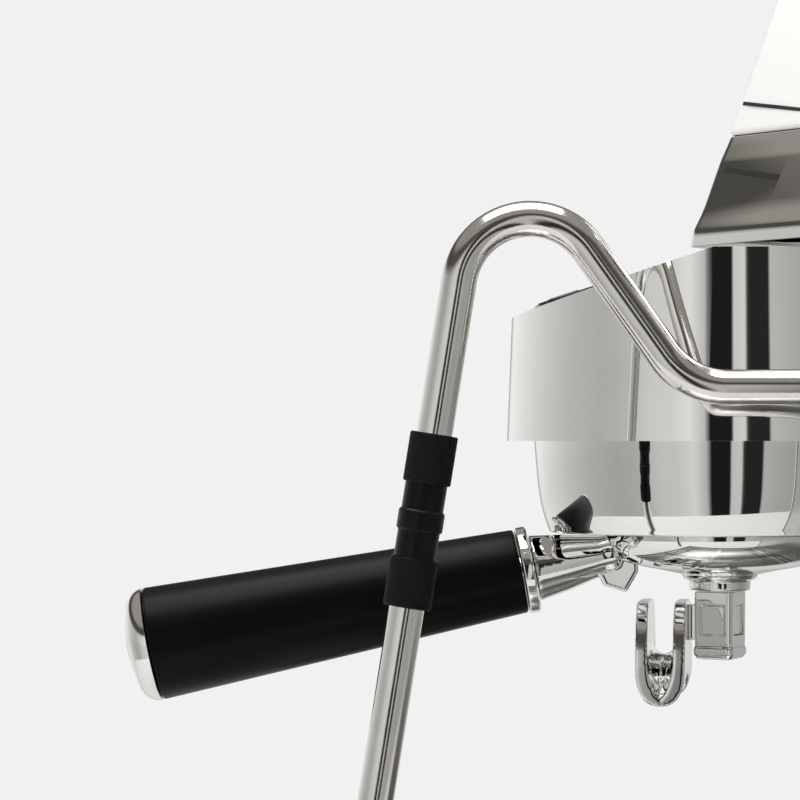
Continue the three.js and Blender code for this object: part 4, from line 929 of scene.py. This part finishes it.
def valve_knob(name, place, body, node):
    piece(f"{name}_grip", fluted(knob_side, 15, 29.5), PLASTIC, body, place, [node])
    badge = turned(eased([(0, 30.6), (11, 30.6), (11, 31), (9.5, 31.25), (0, 31.25)], 0.2), 96)
    piece(f"{name}_badge", badge, CHROME, body, place)
    mark = shifted(slab(rectangle(1.4, 5.5, 0.6), 30.9, 31.15), y=14.4)
    piece(f"{name}_mark", mark, WHITE_MARK, body, place)


valve_knob("steam_knob", AT_STEAM_KNOB, "steam_knob", "steam_knob")
valve_knob("hot_water_knob", AT_HOT_KNOB, "hot_water_knob", "hot_water_knob")

bezel = turned(eased([(0, -20), (CASE_RADIUS, -20), (CASE_RADIUS, GAP), (BEZEL_RADIUS, GAP),
                      (BEZEL_RADIUS, 6), (BEZEL_RADIUS - 1, 7), (20.3, 7), (20.3, 2), (0, 2)], 0.7, 5), 160)
piece("gauge_bezel", bezel, CHROME, "root", AT_GAUGE, ["gauge_case"])
piece("gauge_dial", turned([(0, 2.02), (20.1, 2.02), (20.1, 2.2), (0, 2.2)], 96), DIAL, "root", AT_GAUGE)
ticks = []
for k in range(31):
    long = k % 5 == 0
    tick = shifted(slab(rectangle(3.2 if long else 1.8, 0.55 if long else 0.3, 0.1, 2), 2.2, 2.28),
                   17.4 if long else 18.1)
    ticks.append(moved(tick, Matrix.Rotation(math.radians(225 - 9 * k), 4, "Z")))
piece("gauge_ticks", gathered(*ticks), INK_AND_SLOT_SHADE, "root", AT_GAUGE)
arc_band = slab(arc((0, 0), 15.2, 0, 60, 20) + arc((0, 0), 13.9, 60, 0, 20), 2.2, 2.26)
piece("gauge_working_zone", moved(arc_band, Matrix.Rotation(math.radians(20), 4, "Z")), RED, "root", AT_GAUGE)
lens = turned(eased([(0, 5), (20, 5), (20, 6), (12, 6.42), (0, 6.5)], 1.2, 5), 96)
piece("gauge_lens", lens, LENS, "root", AT_GAUGE, ["gauge_glass"])
hand = slab([(-4.5, -0.8), (15, -0.25), (15.6, 0), (15, 0.25), (-4.5, 0.8)], 3.05, 3.5)
boss = turned(eased([(0, 2.35), (1.8, 2.35), (1.8, 3.6), (1.1, 3.95), (0, 3.95)], 0.3), 48)
needle = moved(gathered(hand, boss), Matrix.Rotation(math.radians(225), 4, "Z"))
piece("gauge_hand", needle, RED, "gauge_needle", AT_GAUGE, ["gauge_needle"])

rocker_side = eased([(-12.5, -9), (12.5, -9), (12.5, 1.5), (0, 3.4), (-12.5, 6)], 0.8, 5, loop=True)
rocker = moved(slab(rocker_side, -9, 9), TO_X)
piece("power_rocker", rocker, PLASTIC, "power_switch", AT_SWITCH, ["power_switch"],
      edge=0.35)
on_mark = moved(slab(rectangle(0.8, 4, 0.3), 0, 0.2),
                Matrix.Translation((0, 6.6, 2.42)) @ Matrix.Rotation(math.radians(-8.6), 4, "X"))
ring_out, ring_in = [arc((0, 0), r, 0, 360, 40)[:-1] for r in (2.1, 1.4)]
off_mark = bmesh.new()
off_rings = [[off_mark.verts.new((x, y, z)) for x, y in outline]
             for outline, z in ((ring_out, 0), (ring_out, 0.2), (ring_in, 0.2), (ring_in, 0))]
bridged(off_mark, off_rings, wrap=True)
moved(off_mark, Matrix.Translation((0, -6.6, 4.75)) @ Matrix.Rotation(math.radians(-11.7), 4, "X"))
piece("power_marks", gathered(on_mark, off_mark), WHITE_MARK, "power_switch", AT_SWITCH)

# ---------------------------------------------------------------- hot water spout

AT_HOT_WATER = Matrix.Translation((HOT_WATER_X * MM, GROUP.y + HOT_WATER_Y * MM, BAND_BOTTOM * MM))
swan = swept(route([(0, 0, 6), (0, 0, -34), (0, -38, -52), (0, -46, -92)], [14, 14], 18), 5, 40)
nut = turned(eased([(0, -14), (8.8, -14), (9, -11), (9, -3), (8.8, -GAP), (0, -GAP)], 0.7, 5), 96)
outlet_at = Matrix.Translation((0, -46, -92)) @ Vector((0, -8, -40)).to_track_quat("Z",
                                                                                   "Y").to_matrix().to_4x4()
aerator = moved(turned(eased([(0, -9), (5.3, -9), (5.3, -0.2), (4.2, 0), (0, 0)], 0.4), 64), outlet_at)
piece("hot_water_tube", gathered(swan, nut, aerator), CHROME, "hot_water_spout", AT_HOT_WATER,
      ["hot_water_spout"],
      smooth=45)


# ---------------------------------------------------------------- base, feet and panels

def foot_profile(height):
    return eased([(0, 0), (18, 0), (20, 2), (20, 7), (15, 11), (12, 12), (12, height), (0, height)], 0.9, 4)


for name in ("foot_front_left", "foot_front_right", "foot_rear_left", "foot_rear_right"):
    low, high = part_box(name)
    at = Matrix.Translation(((low.x + high.x) / 2, (low.y + high.y) / 2, low.z))
    body = turned(foot_profile((high.z - low.z) / MM), 96)
    groove = eased([(15.2, -0.4), (16.2, -0.4), (16.2, 0.5), (15.2, 0.5)], 0.1, loop=True)
    piece(f"{name}_rubber", combined(body, [turned(groove, 96, ring=True)]), RUBBER, "root", at, [name])

KEPT = {
    "base_shell": (BRUSHED, 0.6), "drip_tray": (BRUSHED, 0.6), "drip_grate": (PLAIN_STEEL, 0.4),
    "splash_panel": (BRUSHED, 0.3), "rear_panel": (BRUSHED, 0.3), "left_side_panel": (WHITE_PAINT, 0.4),
    "right_side_panel": (WHITE_PAINT, 0.4), "power_inlet": (PLASTIC, 0.3), "water_tank": (CLEAR, 0.6),
    "chassis_pan": (DARK_PAINT, 0.4), "group_head": (CHROME, 0.3), "group_gasket": (RUBBER, 0.2),
    "shower_screen": (PLAIN_STEEL, 0.1), "filter_basket": (PLAIN_STEEL, 0.15),
    "brew_boiler": (PLAIN_STEEL, 0.3),
    "steam_boiler": (PLAIN_STEEL, 0.3), "brew_heater": (COPPER, 0), "steam_heater": (COPPER, 0),
    "pump_motor": (DARK_PAINT, 0.5), "pump_body": (BRASS, 0.5), "motor_shaft": (PLAIN_STEEL, 0.2),
    "solenoid_valve": (BRASS, 0.5), "control_box": (PLASTIC, 0.4), "steam_valve": (BRASS, 0.5),
    "hot_water_valve": (BRASS, 0.5), "steam_feed_pipe": (COPPER, 0), "steam_wand_pipe": (COPPER, 0),
    "hot_water_pipe": (COPPER, 0), "boiler_fill_pipe": (COPPER, 0), "suction_hose": (SILICONE, 0),
}
for name, (surface, edge) in KEPT.items():
    node = frame["nodes"][name]
    node.data.materials.clear()
    node.data.materials.append(surface)
    node.data.shade_smooth()
    if edge:
        rounded_edges(node, edge, 2)
    else:
        node.data.set_sharp_from_angle(angle=math.radians(50))

lid_low, lid_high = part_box("tank_lid")
lid_middle = (lid_low + lid_high) / 2
AT_LID = Matrix.Translation((lid_middle.x, lid_middle.y, lid_low.z))
lid_x = (lid_high.x - lid_low.x) / MM
lid_y = (lid_high.y - lid_low.y) / MM
lid = slab(rectangle(lid_x, lid_y, 5), 0, 4.5)
lid_grip = shifted(slab(rectangle(40, 10, 4), 4, 8.5))
piece("tank_lid_plate", combined(lid, [lid_grip], "UNION"), BRUSHED, "tank_lid", AT_LID, ["tank_lid"],
      edge=0.9)


def screw(radius=3.2):
    """A button-head screw with a hexagon socket, its head on +Z."""
    head = turned(eased([(0, -1), (radius, -1), (radius, 0.3), (radius * 0.7, 1.5), (0, 1.9)], 0.5), 40)
    return combined(head, [turned([(0, 0.6), (radius * 0.42, 0.6), (radius * 0.42, 3), (0, 3)], 6)])


def screws(name, places, body="root"):
    made = [moved(screw(), place) for place in places]
    piece(name, gathered(*made), PLAIN_STEEL, body, None)


def facing(axis, x, y, z):
    turn = {"x": Matrix.Rotation(math.pi / 2, 4, "Y"), "-x": Matrix.Rotation(-math.pi / 2, 4, "Y"),
            "y": Matrix.Rotation(-math.pi / 2, 4, "X"), "-y": Matrix.Rotation(math.pi / 2, 4, "X")}[axis]
    return Matrix.Translation((x, y, z)) @ turn


side_low, side_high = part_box("right_side_panel")
side_y = (side_low.y / MM + 14, side_high.y / MM - 14)
side_z = (side_low.z / MM + 14, side_high.z / MM - 14)
side_x = side_high.x / MM
EDGE_SCREW_SINK = 1.2
screws("right_side_screws", [facing("x", side_x - EDGE_SCREW_SINK, y, z) for y in side_y for z in side_z])
screws("left_side_screws", [facing("-x", -side_x + EDGE_SCREW_SINK, y, z) for y in side_y for z in side_z])
rear_low, rear_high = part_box("rear_panel")
rear_z = (rear_low.z / MM + 10, (rear_low.z + rear_high.z) / 2 / MM, rear_high.z / MM - 10)
screws("rear_screws", [facing("y", side * 138, rear_high.y / MM, z) for side in (-1, 1) for z in rear_z])
inlet_low, inlet_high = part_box("power_inlet")
inlet_middle = (inlet_low + inlet_high) / 2 / MM
screws("inlet_screws",
       [facing("y", inlet_middle.x + side * 20, inlet_high.y / MM, inlet_middle.z) for side in (-1, 1)])


# ---------------------------------------------------------------- studio

floor = as_object(slab(arc((-250, 50), 700, 0, 360, 128)[:-1], -4, 0), "studio_floor")
floor.data.transform(Matrix.Diagonal((MM, MM, MM, 1)))
floor.data.materials.append(FLOOR)

# The walls' brightness by azimuth, in degrees. They are bright behind the machine and dimmer in front of it,
# and two narrow near-black strips draw the dark lines in the chrome. No direction is evenly lit.
STUDIO = [
    (-180, 0.45), (-172, 0.5), (-166, 0.8), (-144, 0.8), (-104, 0.62), (-64, 0.42), (-39, 0.4), (-21, 0.5),
    (-20, 0.02), (-8.5, 0.02), (-7.5, 0.66), (-1, 0.62), (0, 0.012), (12, 0.012), (13.5, 0.5), (22, 0.78),
    (32, 0.66), (44, 0.63), (56, 0.5), (62, 0.47), (73, 0.44), (94, 0.5), (114, 0.62), (132, 0.75),
    (158, 0.9), (166, 0.86), (172, 0.45), (180, 0.45),
]
BACKDROP = 0.88

world = bpy.data.worlds.new("studio")
scene.world = world
world.use_nodes = True
nodes, links = world.node_tree.nodes, world.node_tree.links
background = nodes["Background"]
direction = nodes.new("ShaderNodeTexCoord")
parts = nodes.new("ShaderNodeSeparateXYZ")
links.new(direction.outputs["Generated"], parts.inputs["Vector"])
flipped = nodes.new("ShaderNodeMath")
flipped.operation = "MULTIPLY"
flipped.inputs[1].default_value = -1
links.new(parts.outputs["Y"], flipped.inputs[0])
around = nodes.new("ShaderNodeMath")
around.operation = "ARCTAN2"
links.new(flipped.outputs["Value"], around.inputs[0])
links.new(parts.outputs["X"], around.inputs[1])
share = nodes.new("ShaderNodeMapRange")
share.inputs["From Min"].default_value = -math.pi
share.inputs["From Max"].default_value = math.pi
links.new(around.outputs["Value"], share.inputs["Value"])
walls = nodes.new("ShaderNodeValToRGB")
ramp = walls.color_ramp
for azimuth, level in STUDIO:
    position = (azimuth + 180) / 360
    if azimuth == -180:
        stop = ramp.elements[0]
    elif azimuth == 180:
        stop = ramp.elements[-1]
    else:
        stop = ramp.elements.new(position)
    stop.position = position
    stop.color = (level, level * 0.995, level * 0.98, 1)
links.new(share.outputs["Result"], walls.inputs["Fac"])


def two_step_ramp(stops, tint):
    """A colour ramp through two (position, level) stops."""
    node = nodes.new("ShaderNodeValToRGB")
    for element, (position, level) in zip(node.color_ramp.elements, stops):
        element.position = position
        element.color = (level * tint[0], level * tint[1], level * tint[2], 1)
    return node


height = two_step_ramp(((0.22, 0.0), (0.32, 1.0)), (1, 1, 1))
links.new(parts.outputs["Z"], height.inputs["Fac"])
overhead = two_step_ramp(((0.47, 0.07), (0.56, 0.3)), (1, 0.94, 0.85))
links.new(parts.outputs["Z"], overhead.inputs["Fac"])
ceiling = nodes.new("ShaderNodeMix")
ceiling.data_type = "RGBA"
links.new(height.outputs["Color"], ceiling.inputs["Factor"])
below = nodes.new("ShaderNodeMapRange")
below.inputs["From Min"].default_value = -0.1
below.inputs["From Max"].default_value = 0.0
below.inputs["To Min"].default_value = 0.87
below.inputs["To Max"].default_value = 1.0
links.new(parts.outputs["Z"], below.inputs["Value"])
dimmed = nodes.new("ShaderNodeVectorMath")
dimmed.operation = "SCALE"
links.new(walls.outputs["Color"], dimmed.inputs[0])
links.new(below.outputs["Result"], dimmed.inputs["Scale"])
links.new(dimmed.outputs["Vector"], ceiling.inputs["A"])
links.new(overhead.outputs["Color"], ceiling.inputs["B"])
seen = nodes.new("ShaderNodeLightPath")
shown = nodes.new("ShaderNodeMix")
shown.data_type = "RGBA"
shown.inputs["B"].default_value = (BACKDROP, BACKDROP, BACKDROP, 1)
links.new(seen.outputs["Is Camera Ray"], shown.inputs["Factor"])
links.new(ceiling.outputs["Result"], shown.inputs["A"])
links.new(shown.outputs["Result"], background.inputs["Color"])


def soft_light(name, size, power, location):
    """A square area light; it faces down until it is turned."""
    light = bpy.data.lights.new(name, "AREA")
    light.shape = "RECTANGLE"
    light.size = size
    light.size_y = size
    light.energy = power
    lamp = bpy.data.objects.new(name, light)
    lamp.location = location
    scene.collection.objects.link(lamp)
    return lamp


soft_light("overhead_softbox", 1.2, 16, (0.1, -0.2, 1.5))

# A soft fill from the front right brightens the painted faces; it is hidden from the chrome's reflections.
FILL_TARGET = Vector((0, -0.05, 0.35))
fill_box = soft_light("fill_softbox", 0.6, 10, (1.0, -0.95, 0.75))
fill_box.rotation_euler = (fill_box.location - FILL_TARGET).to_track_quat("Z", "Y").to_euler()
fill_box.visible_glossy = False

scene.view_settings.view_transform = "Standard"
scene.view_settings.look = "None"


# ---------------------------------------------------------------- camera

CAMERA_DISTANCE = 0.94
CAMERA_FORWARD = 0.1
IMAGE_SIDE = 800
FOCAL_PIXELS = 3008
HORIZON_DROP = 41
camera_data = bpy.data.cameras.new("camera")
camera_data.sensor_width = 36
camera_data.lens = FOCAL_PIXELS / IMAGE_SIDE * camera_data.sensor_width
camera_data.shift_y = HORIZON_DROP / IMAGE_SIDE
camera_data.clip_start = 0.01
camera = bpy.data.objects.new("camera", camera_data)
camera.location = GROUP + Vector((CAMERA_DISTANCE, -CAMERA_FORWARD, 0))
camera.rotation_euler = (math.pi / 2, 0, math.pi / 2)
scene.collection.objects.link(camera)
scene.camera = camera
